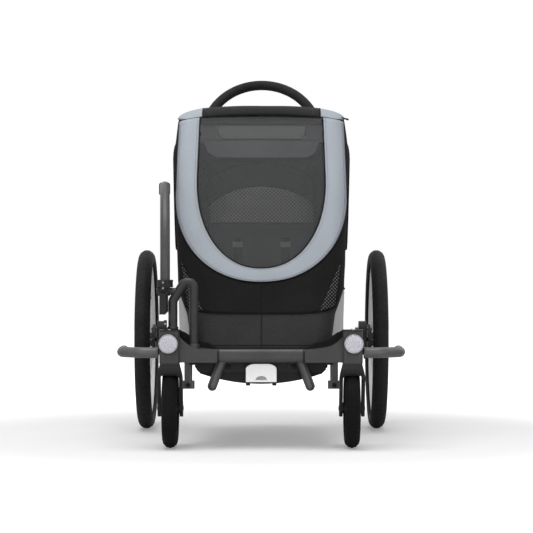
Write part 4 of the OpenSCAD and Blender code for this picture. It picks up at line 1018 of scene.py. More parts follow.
def cloth(name, rows, material, body, slot, ripple=0.0, ripple_size=70.0, puff=None, rests_on=()):
    """Sheet of cloth from a grid of points, rippled and puffed along its normals.
    Gives the piece, and the points and normals of its outer face."""
    normals = grid_normals(rows)
    last_row, last = len(rows) - 1, len(rows[0]) - 1
    for i in range(last_row + 1):
        for j in range(last + 1):
            lift = ripple * noise.noise(rows[i][j] / ripple_size)
            lift += puff(i / last_row, j / last) if puff else 0.0
            rows[i][j] = rows[i][j] + normals[i][j] * lift
    faces = []
    for i in range(last_row):
        low, high = i * (last + 1), (i + 1) * (last + 1)
        faces += [[low + j, low + j + 1, high + j + 1, high + j] for j in range(last)]
    mesh = bpy.data.meshes.new(name)
    mesh.from_pydata([p * MM for row in rows for p in row], [], faces)
    mesh.polygons.foreach_set("use_smooth", [True] * len(faces))
    mesh.materials.append(material)
    piece = bpy.data.objects.new(name, mesh)
    scene.collection.objects.link(piece)
    thickness = piece.modifiers.new("cloth_thickness", "SOLIDIFY")
    thickness.thickness = CLOTH_T * MM
    thickness.offset = -1
    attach(piece, body)
    wide = max(line_length(row) for row in rows) * MM
    long = max(line_length([row[j] for row in rows]) for j in range(last + 1)) * MM
    area = sum(face.area for face in mesh.polygons)
    long = min(long, area / (0.4 * wide))
    return piece, rows, normals


def row_line(shape, i, lift=0.3):
    """Line along one row of a cloth, a little above it."""
    return [p + n * lift for p, n in zip(shape[1][i], shape[2][i])]


def column_line(shape, j, lift=0.3):
    """Line along one column of a cloth, a little above it."""
    return [row[j] + normal_row[j] * lift for row, normal_row in zip(shape[1], shape[2])]


def piped(name, cords, material, body, closed=False):
    """Thin round trim along lines; cords lists each line with its radius."""
    return make(name, [tube(line, radius, 8, closed) for line, radius in cords], material, body)


STITCH_PITCH = 4.2
STITCH_L = 2.9
STITCH_R = 0.38


def stitched(name, lines, material, body):
    """Rows of short threads along lines."""
    threads = []
    for line in lines:
        to_next = STITCH_PITCH
        for a, b in zip(line, line[1:]):
            way, run = (b - a).normalized(), (b - a).length
            while to_next < run:
                start = a + way * to_next
                threads.append(tube([start, start + way * STITCH_L], STITCH_R, 4))
                to_next += STITCH_PITCH
            to_next -= run
    return make(name, threads, material, body)


def crossing_waves(group, size, lean):
    """Product of waves along X and along Z; with a lean, Y adds to both, so that they show on any face."""
    place = group.nodes.new("ShaderNodeTexCoord")
    axes = group.nodes.new("ShaderNodeSeparateXYZ")
    group.links.new(place.outputs["Object"], axes.inputs[0])
    pace = math_node(group, "DIVIDE", math.pi, size)
    leaning = math_node(group, "MULTIPLY", axes.outputs["Y"], lean)
    waves = []
    for axis in ("X", "Z"):
        along = math_node(group, "ADD", axes.outputs[axis], leaning)
        waves.append(math_node(group, "SINE", math_node(group, "MULTIPLY", along, pace)))
    return math_node(group, "MULTIPLY", *waves)


# Crossing threads, seen on any face, with slow patches of tone and slubs
weave, weave_in, weave_out = new_group("plain_weave", {"Size": 0.001}, ("Height", "Patch"))
crossing = crossing_waves(weave, weave_in.outputs["Size"], 0.7)
weave.links.new(ramp(weave, crossing, -1, 1, 0, 1), weave_out.inputs["Height"])
slub = math_node(weave, "ADD", noise_node(weave, 9.0, 4.0), noise_node(weave, 170.0, 2.0))
weave.links.new(ramp(weave, slub, 0.7, 1.3, 0, 1), weave_out.inputs["Patch"])


def woven(name, colour, rough, thread=1.0, depth=0.14, spread=0.14, holes=None):
    """Dull cloth of crossing threads, with the thread's pitch and the relief in millimetres."""
    return finish(name, colour, rough, weave, thread * MM, depth * MM, spread=spread, holes=holes, shine=0.08)


grey_cloth = woven("grey_cloth", level(53), 0.8, spread=0.1)
black_cloth = woven("black_cloth", level(27), 0.82, spread=0.16)
thread_black = woven("thread_black", level(24), 0.7, 0.4, 0.05)
thread_grey = woven("thread_grey", level(92), 0.7, 0.4, 0.05)
LOWER_ROWS = 20
LOWER_COLUMNS = 72
MIDDLE_STITCH_X = 2.6
SEAM_GAP = 0.8


def lower_point(up, along):
    """Point of the lower panel, from the crossbar up to the seam."""
    share = 2 * along - 1
    top = seam_height(share * front_half(SEAM_Z)) - SEAM_GAP
    z = LOW_Z + (top - LOW_Z) * up
    return front_point(share * front_half(z), z)


lower = cloth("lower_front_cloth", grid(LOWER_ROWS, LOWER_COLUMNS, lower_point), grey_cloth, "chassis",
              "grey_cloth", ripple=1.4, rests_on=["front_crossbar"])
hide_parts("lower_panel")
middle_seam = column_line(lower, LOWER_COLUMNS // 2)
lower_cords = [(middle_seam, 0.9), (row_line(lower, 2), 0.8), (row_line(lower, 0, 0.6), 1.2),
               (row_line(lower, LOWER_ROWS, 0.4), 0.8)]
piped("lower_panel_piping", lower_cords, thread_black, "chassis")
lower_lines = [[p + Vector((MIDDLE_STITCH_X, 0, 0)) for p in middle_seam], row_line(lower, 1, 0.4),
               row_line(lower, LOWER_ROWS - 1, 0.4)]
stitched("lower_panel_stitches", lower_lines, thread_black, "chassis")


# Side walls
# Each side is black cloth down to a pale stiff skirt, whose hem turns in onto the rail. A mesh window is
# sewn into the black part, with piping round it. A loose gusset closes the corner in front of each post.
SIDE_DRAW = 180
BACK_CORNER_R = 24
FRONT_SHARE, WALL_SHARE = 0.4, 0.8
rear_low, rear_high = box_mm("rear_panel")
BACK_Y = rear_high.y
SIDE_TOP = EAVES_Z - 2
WALL_GAP = 0.4
SKIRT_END_X = 193
PANEL_END_X = 163.4
BOW_SLIT = hub_z - BOW_R - 8
CRUMPLE_Z = 0.397
CRUMPLE_KEEP = 0.22


def crumple(*soft_pieces, foot=CRUMPLE_Z, keep=CRUMPLE_KEEP):
    """Gives each piece a mesh of its own."""
    for piece in soft_pieces:
        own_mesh(piece)


def side_point(v, z, end_x):
    """Point of the right wall: v runs from the front edge, along the wall and round the back corner."""
    y0, y2 = front_y(z) + CORNER_R, BACK_Y - BACK_CORNER_R
    y1 = min(y0 + SIDE_DRAW, y2 - 20)
    half = side_half(z)
    if v < FRONT_SHARE:
        share = v / FRONT_SHARE
        return Vector((front_half(z) + (half - front_half(z)) * share, y0 + (y1 - y0) * share, z))
    if v < WALL_SHARE:
        return Vector((half, y1 + (y2 - y1) * (v - FRONT_SHARE) / (WALL_SHARE - FRONT_SHARE), z))
    quarter = BACK_CORNER_R * math.pi / 2
    centre_x = half - BACK_CORNER_R
    wrap = reading(z, [(BOW_SLIT - 30, quarter + centre_x - end_x), (BOW_SLIT, quarter / 2)])
    run = wrap * (v - WALL_SHARE) / (1 - WALL_SHARE)
    if run < quarter:
        angle = run / BACK_CORNER_R
        return Vector((centre_x + BACK_CORNER_R * math.cos(angle), y2 + BACK_CORNER_R * math.sin(angle), z))
    return Vector((centre_x - (run - quarter), BACK_Y, z))


SIDE_COLUMNS = 60
SIDE_START = FRONT_SHARE * 2 / SIDE_DRAW


def facing(side, rows):
    """Grid of a right-hand piece, or its mirror image for the left one."""
    return rows if side > 0 else [[Vector((-p.x, p.y, p.z)) for p in reversed(row)] for row in rows]


def side_rows(low_z, high_z, rows, end_x):
    """Grid of the right wall between two heights."""
    return grid(rows, SIDE_COLUMNS, lambda up, along: side_point(
        SIDE_START + (1 - SIDE_START) * along, low_z + (high_z - low_z) * up, end_x))


pale_cloth = woven("pale_cloth", level(192, 193, 194), 0.78, 1.3, spread=0.06)
screen_cloth = woven("side_screen", level(52), 0.7, 2.4, 0.4, spread=0.25)
SIDE_PUFF = 1.6
SKIRT_ROWS = 12
WALL_ROWS = 40
WINDOW_Z = (500, 790)
WINDOW_SPAN = (0.14, 0.74)
WINDOW_ROUND = 0.22
WINDOW_ROWS, WINDOW_STEPS = 16, 24
WINDOW_LIFT = 2.4


def window_point(up, along):
    """Point of the right window, which has round corners and lies just outside the wall."""
    a, b = 2 * along - 1, 2 * up - 1
    v = (sum(WINDOW_SPAN) + a * math.sqrt(1 - WINDOW_ROUND * b * b) * (WINDOW_SPAN[1] - WINDOW_SPAN[0])) / 2
    z = (sum(WINDOW_Z) + b * math.sqrt(1 - WINDOW_ROUND * a * a) * (WINDOW_Z[1] - WINDOW_Z[0])) / 2
    p = side_point(v, z, PANEL_END_X)
    return Vector((p.x + WINDOW_LIFT, p.y, p.z))


HEM_INNER_X = 185
HEM_REACH = 30
HEM_INSET = 0.7
HEM_SPAN = (0.01, 0.8)
HEM_Z = 250.6
HEM_ROWS, HEM_STEPS = 3, 40
GUSSET_X = 164
GUSSET_RUN = 38
GUSSET_BACK = 5
GUSSET_Z = (252, SKIRT_TOP + 14)
GUSSET_GAP = 3.2
GUSSET_ROWS, GUSSET_STEPS = 8, 12
GUSSET_FOOT = 0.258
GUSSET_KEEP = 0.3


def hem_point(up, along):
    """Point of the right skirt's turned-in hem, from the rail out to the skirt."""
    p = side_point(HEM_SPAN[0] + (HEM_SPAN[1] - HEM_SPAN[0]) * (1 - along), LOW_Z, SKIRT_END_X)
    return Vector((max(HEM_INNER_X, p.x - HEM_REACH) * (1 - up) + (p.x - HEM_INSET) * up, p.y, HEM_Z))


def gusset_point(up, along):
    """Point across the right back corner, from the skirt to the back wall."""
    out = 1 - along
    z = GUSSET_Z[0] + (GUSSET_Z[1] - GUSSET_Z[0]) * up
    run_x = side_half(z) - GUSSET_GAP - GUSSET_X
    return Vector((GUSSET_X + run_x * out, BACK_Y - GUSSET_BACK - GUSSET_RUN * out ** 1.4, z))


def side_puff(up, along):
    """How far a wall stands out at a share of its height and length."""
    return SIDE_PUFF * math.sin(math.pi * up) * math.sin(math.pi * along) - SIDE_PUFF / 3


for side, side_name in SIDES:
    cloth(f"skirt_hem_cloth_{side_name}", facing(side, grid(HEM_ROWS, HEM_STEPS, hem_point)), black_cloth,
          "chassis", "black_cloth", rests_on=["side_rails"])
    gusset_rows = facing(side, grid(GUSSET_ROWS, GUSSET_STEPS, gusset_point))
    gusset = cloth(f"corner_gusset_{side_name}", gusset_rows, black_cloth, "chassis", "black_cloth",
                   ripple=1.0)
    crumple(gusset[0], foot=GUSSET_FOOT, keep=GUSSET_KEEP)
    skirt_rows = facing(side, side_rows(LOW_Z, SKIRT_TOP, SKIRT_ROWS, SKIRT_END_X))
    skirt = cloth(f"side_skirt_cloth_{side_name}", skirt_rows, pale_cloth, "chassis", "pale_cloth",
                  ripple=0.8, rests_on=["side_rails"])
    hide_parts(f"side_skirt_{side_name}")
    skirt_lines = [row_line(skirt, i, 0.4) for i in (1, SKIRT_ROWS - 1)]
    stitched(f"side_skirt_stitches_{side_name}", skirt_lines, thread_grey, "chassis")
    wall_rows = facing(side, side_rows(SKIRT_TOP + WALL_GAP, SIDE_TOP, WALL_ROWS, PANEL_END_X))
    wall = cloth(f"side_wall_cloth_{side_name}", wall_rows, black_cloth, "chassis", "black_cloth", ripple=2.2,
                 puff=side_puff, rests_on=["canopy_bow"])
    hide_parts(f"side_panel_{side_name}")
    wall_trim = piped(f"side_wall_piping_{side_name}", [(row_line(wall, 0, 1.0), 1.8)], thread_black,
                      "chassis")
    window_rows = facing(side, grid(WINDOW_ROWS, WINDOW_STEPS, window_point))
    screen = cloth(f"side_window_mesh_{side_name}", window_rows, screen_cloth, "chassis", "window_mesh",
                   rests_on=[f"side_wall_cloth_{side_name}"])
    edge = row_line(screen, 0, 0.6) + column_line(screen, WINDOW_STEPS, 0.6)[1:]
    edge += row_line(screen, WINDOW_ROWS, 0.6)[::-1][1:] + column_line(screen, 0, 0.6)[::-1][1:-1]
    binding = piped(f"side_window_binding_{side_name}", [(edge, 2.2)], thread_black, "chassis",
                    closed=True)
    crumple(wall[0], wall_trim, screen[0], binding)


# Back wall
# Flat black cloth in front of the posts, with a pale yoke and a low clear window under the roof, so that
# the child can be seen from behind. Two rows of stitches cross it below the yoke.
REAR_LAP = 10
REAR_HALF = rear_high.x + REAR_LAP
REAR_ROWS, REAR_STEPS = 40, 80
REAR_STITCH_ROWS = (34, 32)
YOKE_LOW_Z = 757
YOKE_HALF = 158
YOKE_ROUND = 42
SLOT_HALF = 122
SLOT_LOW_Z = 808
SLOT_CUT = 14
STRIP_ROWS = 6
CORNER_ROWS, CORNER_STEPS = 8, 10
REAR_INSET = 2.2


def yoke_edge(x):
    """Lower edge of the yoke, which turns up at its two corners."""
    past = min(YOKE_ROUND, max(0.0, abs(x) - (YOKE_HALF - YOKE_ROUND)))
    return YOKE_LOW_Z + YOKE_ROUND - math.sqrt(YOKE_ROUND ** 2 - past ** 2)


def rear_cloth(name, low_z, high_z, rows, x0, x1, columns, material, slot, **more):
    """Flat sheet on the back wall, seen from behind, between two edges that are functions of x."""
    def spot(up, along):
        x = x1 - (x1 - x0) * along
        return Vector((x, BACK_Y, low_z(x) + (high_z(x) - low_z(x)) * up))
    return cloth(name, grid(rows, columns, spot), material, "chassis", slot,
                 puff=lambda up, along: -REAR_INSET, **more)


slot_film = woven("rear_window_film", level(121, 121, 119), 0.25, 2.0, 0.03, spread=0.04, holes=(0.69, 0.76))
yoke_cloth = woven("back_yoke_cloth", level(204, 206, 208), 0.8, 1.3, spread=0.08)
rear = rear_cloth("back_wall_cloth", lambda x: rear_low.z, yoke_edge, REAR_ROWS, -REAR_HALF, REAR_HALF,
                  REAR_STEPS, black_cloth, "black_cloth", ripple=1.0, rests_on=["upright_posts"])
yoke = rear_cloth("back_yoke_cloth", yoke_edge, lambda x: SLOT_LOW_Z, STRIP_ROWS, -REAR_HALF, REAR_HALF,
                  REAR_STEPS, yoke_cloth, "grey_cloth")
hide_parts("rear_panel")
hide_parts("rear_panel")
film = rear_cloth("rear_window_sheet", lambda x: SLOT_LOW_Z, lambda x: SIDE_TOP, STRIP_ROWS, -SLOT_HALF,
                  SLOT_HALF, REAR_STEPS, slot_film, "window_mesh")
rear_corners = []
for side, side_name in SIDES:
    x0, x1 = sorted((side * SLOT_HALF, side * REAR_HALF))
    corner = rear_cloth(f"back_wall_corner_{side_name}", lambda x: SLOT_LOW_Z, lambda x: SIDE_TOP,
                        CORNER_ROWS, x0, x1, CORNER_STEPS, yoke_cloth, "grey_cloth")
    rear_corners.append(corner[0])
slot_half_line = [(SLOT_HALF - SLOT_CUT, SLOT_LOW_Z), (SLOT_HALF, SLOT_LOW_Z + SLOT_CUT),
                  (SLOT_HALF, SIDE_TOP)]
slot_line = [(-x, z) for x, z in reversed(slot_half_line)] + slot_half_line
slot_trim = piped("rear_window_binding", [(at_depth(slot_line, BACK_Y - REAR_INSET), 2.0)], thread_black,
                  "chassis", closed=True)
rear_thread = stitched("back_wall_stitches", [row_line(rear, i, 0.4) for i in REAR_STITCH_ROWS], thread_grey,
                       "chassis")
crumple(rear[0], yoke[0], film[0], *rear_corners, slot_trim, rear_thread)


# Roof
# A crowned sheet over the bow: a dark strip in the middle and a pale band at each side, which carries on
# from the band of the front cover. A zip runs along the front hem, with a short stiff pull on the right.
ROOF_CORNER = 40
BAND_SPLIT = 156
BAND_LEAST = 12
HEM_CROWN = 6.5
HEM_DROOP = 11
HEM_END_SHARE = 0.4
HEM_FROM = 0.55
CROWN_FLATNESS = 3.4
CROWN_FALL = 0.55
roof_mid_y = (roof_low.y + roof_high.y) / 2
roof_half_l = (roof_high.y - roof_low.y) / 2
roof_half_w = side_half(EAVES_Z)


def hem_lift(x):
    """How far the front hem lies over or under the eaves: it arches in the middle and droops at its ends."""
    share = abs(x) / BAND_SPLIT
    if share < 1:
        return HEM_CROWN * (1 - share ** 2)
    return -HEM_DROOP * min(1.0, (share - 1) / HEM_END_SHARE) ** 1.2


def bow_height(share):
    """Height of the crown at a share of the way from the middle to the edge."""
    return max(0.0, 1 - abs(share) ** CROWN_FLATNESS) ** CROWN_FALL


def roof_half(b):
    """Half the roof's width, which rounds off at the four corners."""
    past = max(0.0, abs(b) * roof_half_l - (roof_half_l - ROOF_CORNER))
    return roof_half_w - ROOF_CORNER + math.sqrt(max(0.0, ROOF_CORNER ** 2 - past ** 2))


def roof_point(x, b):
    """Point of the roof at a place across it and a share from its middle to its front or back edge."""
    crown = ROOF_RISE * bow_height(x / roof_half(b)) * bow_height(b)
    near_front = max(0.0, -b - HEM_FROM) / (1 - HEM_FROM)
    return Vector((x, roof_mid_y + b * roof_half_l, EAVES_Z + crown + hem_lift(x) * near_front ** 1.5))


ROOF_ROWS = 36
STRIP_STEPS, BAND_STEPS = 48, 20


def roof_rows(start, end, columns):
    """Grid over the roof between two edges, each a function of b."""
    def spot(up, along):
        b = math.sin(math.pi * (up - 0.5))
        return roof_point(start(b) + (end(b) - start(b)) * along, b)
    return grid(ROOF_ROWS, columns, spot)


def split_at(b):
    """Place of the seam between strip and band."""
    return min(BAND_SPLIT, roof_half(b) - BAND_LEAST)


band_cloth = woven("band_cloth", level(168, 174, 182), 0.74, spread=0.04)
roof_cloth = woven("roof_cloth", level(42), 0.78, 1.2, spread=0.1)
strip_rows = roof_rows(lambda b: -split_at(b), split_at, STRIP_STEPS)
strip = cloth("roof_strip_cloth", strip_rows, roof_cloth, "chassis", "black_cloth", ripple=1.2,
              ripple_size=90, rests_on=["canopy_bow"])
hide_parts("roof_panel")
bands = []
for side, side_name in SIDES:
    band_rows = facing(side, roof_rows(split_at, roof_half, BAND_STEPS))
    bands.append(cloth(f"roof_band_cloth_{side_name}", band_rows, band_cloth, "chassis", "band_cloth",
                       ripple=0.8, rests_on=["canopy_bow"]))
left_band, right_band = bands
back_line = row_line(left_band, ROOF_ROWS, 0.2)[:-1] + row_line(strip, ROOF_ROWS, 0.2)
back_line += row_line(right_band, ROOF_ROWS, 0.2)[1:]
roof_cords = [(back_line, 1.8)] + [(column_line(strip, j, 0.4), 0.9) for j in (0, STRIP_STEPS)]
roof_piping = piped("roof_piping", roof_cords, thread_black, "chassis")
zip_line = [p + Vector((0, -0.8, -1.5)) for p in row_line(strip, 0, 0.2)]
zip_tape = piped("roof_zip", [(zip_line, 2.0)], thread_black, "chassis")
band_edges = [row_line(left_band, 0, 0.2), row_line(right_band, 0, 0.2), column_line(left_band, 0, 0.2),
              column_line(right_band, BAND_STEPS, 0.2)]
hem_edges = piped("roof_hem_cords", [(line, 0.9) for line in band_edges], thread_grey, "chassis")
roof_lines = [column_line(strip, j, 0.4) for j in (3, STRIP_STEPS - 3)]
roof_thread = stitched("roof_stitches", roof_lines, thread_grey, "chassis")
PULL_START = Vector((212, -96, 848.5))
PULL_END = Vector((231, -96, 842))
PULL_RADII = [1.3, 1.5, 1.6, 1.8, 2.4, 2.6, 1.6]
pull_line = [PULL_START.lerp(PULL_END, k / 6) for k in range(7)]
zip_pull = make("zip_pull", [tube(pull_line, PULL_RADII, 10)], thread_black, "chassis")
crumple(strip[0], left_band[0], right_band[0], roof_piping, zip_tape, hem_edges, roof_thread, zip_pull)


# Front cover
# A mesh window in a wide pale band, with black cloth round it down to the seam. The cover unzips along
# the hem and lifts; its corners turn back onto the side walls.
U_POWER = 0.93
STRAIGHT_SHARE = 0.4
RIM_SHARE = 0.68
HALF_STEPS = 56
BAND_ROWS = 8
COVER_SKIRT_ROWS = 12
BAND_PUFF = 1.6
COVER_LAP = 0.6
# Half width at the turn and at the top, height of the turn and of the bottom
OUTER_U = (222.5, 218.5, 640, 414)
INNER_U = (166, 162, 680, 450)


def cover_top(x):
    """Upper edge of the cover, under the zip."""
    return SIDE_TOP + COVER_LAP + hem_lift(x)


def u_point(u, s):
    """Half of a U curve, from its straight top to the middle of its round bottom."""
    half_low, half_top, turn_z, bottom_z = u
    if s < STRAIGHT_SHARE:
        k = s / STRAIGHT_SHARE
        top = cover_top(half_top)
        return half_top + (half_low - half_top) * k, top + (turn_z - top) * k
    angle = math.pi / 2 * (s - STRAIGHT_SHARE) / (1 - STRAIGHT_SHARE)
    x = half_low * max(0.0, math.cos(angle)) ** U_POWER
    return x, turn_z - (turn_z - bottom_z) * math.sin(angle) ** U_POWER


def rim_point(s):
    """Half of the cover's outer edge: down the upright corner, then along the seam to the middle."""
    if s < RIM_SHARE:
        top = cover_top(front_half(SIDE_TOP))
        z = top + (seam_height(front_half(SEAM_Z)) - top) * s / RIM_SHARE
        return front_half(z), z
    x = front_half(SEAM_Z + SEAM_LIFT) * (1 - s) / (1 - RIM_SHARE)
    return x, seam_height(x)


def both_halves(curve):
    """A curve from the top left, down and round, and up to the top right."""
    half = [curve(k / HALF_STEPS) for k in range(HALF_STEPS + 1)]
    return [(-x, z) for x, z in half] + half[-2::-1]


def between_curves(outer, inner, rows):
    """Grid on the front face from an outer curve to an inner one."""
    return [[front_point(a[0] + (b[0] - a[0]) * i / rows, a[1] + (b[1] - a[1]) * i / rows)
             for a, b in zip(outer, inner)] for i in range(rows + 1)]


def band_puff(up, along):
    """How far the band stands out at a share of its width."""
    return BAND_PUFF * math.sin(math.pi * up) + 0.6


outer_curve = both_halves(lambda s: u_point(OUTER_U, s))
inner_curve = both_halves(lambda s: u_point(INNER_U, s))
band_rows = between_curves(outer_curve, inner_curve, BAND_ROWS)
band = cloth("cover_band_cloth", band_rows, band_cloth, "front_cover", "band_cloth", ripple=0.7,
             puff=band_puff, rests_on=["cover_skirt_cloth"])
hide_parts("cover_band")
skirt_rows = between_curves(both_halves(rim_point), outer_curve, COVER_SKIRT_ROWS)
skirt = cloth("cover_skirt_cloth", skirt_rows, black_cloth, "front_cover", "black_cloth", ripple=1.6,
              rests_on=["canopy_bow"])
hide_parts("cover_skirt")
window_screen = woven("window_screen", level(110, 111, 112), 0.7, 0.6, 0.04, spread=0.04, holes=(0.27, 0.36))
window_lining = woven("window_lining", level(80), 0.7, 0.6, 0.04, spread=0.04, holes=(0.05, 0.1))
SCREEN_ROWS, SCREEN_STEPS = 60, 40
SCREEN_END = 0.985
ARCHED_ROWS = 8
SCREEN_DROP = 1.5


def screen_point(up, along):
    """Point of the window, whose upper edge follows the hem of the roof."""
    half, z = u_point(INNER_U, SCREEN_END * (1 - up))
    x = half * (2 * along - 1)
    fade = max(0.0, 1 - (1 - up) * SCREEN_ROWS / ARCHED_ROWS)
    return front_point(x, z + (hem_lift(x) - hem_lift(half) - SCREEN_DROP) * fade)


window = cloth("cover_window_screen", grid(SCREEN_ROWS, SCREEN_STEPS, screen_point), window_screen,
               "front_cover", "window_mesh", ripple=0.6, ripple_size=140, rests_on=["cover_band_cloth"])
window[0].data.materials.append(window_lining)
window[0].modifiers["cloth_thickness"].material_offset = 1
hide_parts("cover_window")
band_cords = [(row_line(band, 0, 0.4), 1.3), (row_line(band, BAND_ROWS, 0.4), 1.5)]
band_piping = piped("band_piping", band_cords, thread_black, "front_cover")
band_thread = stitched("band_stitches", [row_line(band, i) for i in (1, BAND_ROWS - 1)], thread_grey,
                       "front_cover")
skirt_seam = piped("cover_skirt_seam", [(column_line(skirt, HALF_STEPS), 0.9)], thread_black, "front_cover")
LOOSE_Z = 0.338
LOOSE_KEEP = 0.02
crumple(band[0], skirt[0], window[0], band_piping, band_thread, skirt_seam, foot=LOOSE_Z, keep=LOOSE_KEEP)


# Knitted corners
# A wedge of dotted knit is let into each lower corner of the cover, above the seam, where the cloth has
# to stretch round the rail.
WEDGE_LOW = (146, 341)
WEDGE_OUT = (184, 352)
WEDGE_TIP = (203, 468)
WEDGE_ROWS, WEDGE_STEPS = 24, 8
WEDGE_LIFT = 2.0
knit, knit_in, knit_out = new_group("dotted_knit", {"Size": 0.003}, ("Height", "Patch"))
knit_dot = ramp(knit, crossing_waves(knit, knit_in.outputs["Size"], 0.0), 0.15, 0.5, 0.0, 1.0)
knit.links.new(knit_dot, knit_out.inputs["Height"])
knit.links.new(knit_dot, knit_out.inputs["Patch"])
dotted = finish("dotted_knit", level(76), 0.85, knit, 4.4 * MM, 0.3 * MM, spread=0.85, shine=0.08)


def wedge_point(up, along):
    """Point of the right wedge, between its two lower corners and its tip."""
    spot = []
    for low, out, tip in zip(WEDGE_LOW, WEDGE_OUT, WEDGE_TIP):
        inner, outer = low + (tip - low) * up, out + (tip - out) * up
        spot.append(inner + (outer - inner) * along)
    return front_point(min(spot[0], front_half(spot[1]) - 0.5), spot[1])


for side, side_name in SIDES:
    wedge_rows = facing(side, grid(WEDGE_ROWS, WEDGE_STEPS, wedge_point))
    wedge = cloth(f"knit_wedge_{side_name}", wedge_rows, dotted, "front_cover", "grey_cloth",
                  puff=lambda up, along: WEDGE_LIFT, rests_on=["cover_skirt_cloth"])
    crumple(wedge[0], foot=LOOSE_Z, keep=LOOSE_KEEP)


# Seat and backrest
# Two foam pads in dark woven covers, sewn through in channels. The backrest hangs on the back wall, faced
# with a lighter knit at the child's back and a greyer weave below; the seat lies on the pan.
VOXEL = 5.0
SWELL_CAP = 7.0
SWELL_PRESSURE = 4.0
SWELL_FRAMES = 20
PILLOW_STEPS = 24
PILLOW_FLATNESS = 4
PILLOW_FALL = 0.7
PILLOW_WAIST = (0.03, 0.02)


def pillow(width, length, edge, crown):
    """Crowned pad over a flat back: points of (across, along, up) and faces."""
    steps = [math.sin(math.pi * (k / PILLOW_STEPS - 0.5)) for k in range(PILLOW_STEPS + 1)]
    points = []
    for face in (1, 0):
        for b in steps:
            for a in steps:
                fall_a, fall_b = (max(0, 1 - k ** PILLOW_FLATNESS) ** PILLOW_FALL for k in (a, b))
                x = a * width / 2 * (1 - PILLOW_WAIST[0] * (1 - b * b))
                y = b * length / 2 * (1 - PILLOW_WAIST[1] * (1 - a * a))
                points.append((x, y, face * (edge + crown * fall_a * fall_b)))
    n = len(steps)
    faces = []
    for i in range(n - 1):
        for j in range(n - 1):
            corners = [i * n + j, i * n + j + 1, (i + 1) * n + j + 1, (i + 1) * n + j]
            faces.append(corners)
            faces.append([n * n + corners[k] for k in (0, 3, 2, 1)])
    rim = list(range(n)) + [k * n + n - 1 for k in range(1, n)]
    rim += [(n - 1) * n + k for k in range(n - 2, -1, -1)] + [k * n for k in range(n - 2, 0, -1)]
    for a, b in zip(rim, rim[1:] + rim[:1]):
        faces.append([b, a, n * n + a, n * n + b])
    return points, faces


def settle(piece):
    """Evaluated mesh of a piece with its modifiers, put back on the piece."""
    shape = piece.evaluated_get(bpy.context.evaluated_depsgraph_get())
    mesh = bpy.data.meshes.new_from_object(shape)
    piece.modifiers.clear()
    piece.data = mesh
    return mesh


def swell(piece, flat):
    """Remeshes a pad and blows it up as cloth; points where flat is true stay on their seat."""
    voxels = piece.modifiers.new("even_mesh", "REMESH")
    voxels.mode = "VOXEL"
    voxels.voxel_size = VOXEL * MM
    mesh = settle(piece)
    held_points = piece.vertex_groups.new(name="held")
    held_points.add([v.index for v in mesh.vertices if flat(v.co / MM)], 1.0, "REPLACE")
    rest = [v.co.copy() for v in mesh.vertices]
    skin_cloth = piece.modifiers.new("swell", "CLOTH")
    skin_cloth.settings.use_pressure = True
    skin_cloth.settings.uniform_pressure_force = SWELL_PRESSURE
    skin_cloth.settings.vertex_group_mass = "held"
    skin_cloth.settings.effector_weights.gravity = 0
    skin_cloth.point_cache.frame_start = 1
    skin_cloth.point_cache.frame_end = SWELL_FRAMES
    for frame_number in range(1, SWELL_FRAMES + 1):
        scene.frame_set(frame_number)
    mesh = settle(piece)
    scene.frame_set(1)
    for vertex, start in zip(mesh.vertices, rest):
        move = vertex.co - start
        if move.length > SWELL_CAP * MM:
            vertex.co = start + move * (SWELL_CAP * MM / move.length)
    return mesh


CHANNEL_DEPTH = 6
CHANNEL_END = 0.35
CHANNEL_FLOOR = 12


def pad(name, shape, place, channels, length, flat):
    """Padded piece: placed, swollen, and then sewn through in channels across its length."""
    mesh = bpy.data.meshes.new(name)
    mesh.from_pydata([place(Vector(p)) * MM for p in shape[0]], [], shape[1])
    piece = bpy.data.objects.new(name, mesh)
    scene.collection.objects.link(piece)
    mesh = swell(piece, flat)
    middle = place(Vector())
    along, up = place(Vector((0, 1, 0))) - middle, place(Vector((0, 0, 1))) - middle
    for vertex in mesh.vertices:
        share = ((vertex.co / MM - middle).dot(along) / length + 0.5) * channels
        height = (vertex.co / MM - middle).dot(up)
        inside = CHANNEL_END < share < channels - CHANNEL_END
        sewn = abs(math.cos(math.pi * share)) ** 14 if inside else 0.0
        sewn *= min(1.0, max(0.0, (height - CHANNEL_FLOOR) / CHANNEL_FLOOR))
        vertex.co -= up * (CHANNEL_DEPTH * sewn * MM)
    mesh.polygons.foreach_set("use_smooth", [True] * len(mesh.polygons))
    finer = piece.modifiers.new("finer", "SUBSURF")
    finer.levels = 1
    finer.render_levels = 1
    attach(piece, "chassis")
    return piece


seat_weave = woven("seat_weave", level(62), 0.86, 2.2, 0.1, spread=0.12)
seat_knit = finish("seat_knit", level(190), 0.86, knit, 5.2 * MM, 0.2 * MM, spread=0.3, shine=0.08)
lap_weave = woven("lap_weave", level(98), 0.86, 2.2, 0.1, spread=0.1)
PAD_SLACK = 8
HELD_T = 4
SEAT_EDGE, SEAT_CROWN = 24, 18
cushion_low, cushion_high = box_mm("seat_cushion")
seat_w, seat_l = cushion_high.x - cushion_low.x, cushion_high.y - cushion_low.y
seat_mid_y = (cushion_low.y + cushion_high.y) / 2
seat_shape = pillow(seat_w - PAD_SLACK, seat_l - PAD_SLACK, SEAT_EDGE, SEAT_CROWN)
seat = pad("seat_pad", seat_shape, lambda p: Vector((p.x, seat_mid_y + p.y, cushion_low.z + p.z)), 3,
           seat_l, lambda p: p.z < cushion_low.z + HELD_T)
seat.data.materials.append(seat_weave)
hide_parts("seat_cushion")
BACK_EDGE, BACK_CROWN = 16, 18
BACK_GAP = 6
back_low, back_high = box_mm("backrest_cushion")
back_w, back_l = back_high.x - back_low.x, back_high.z - back_low.z
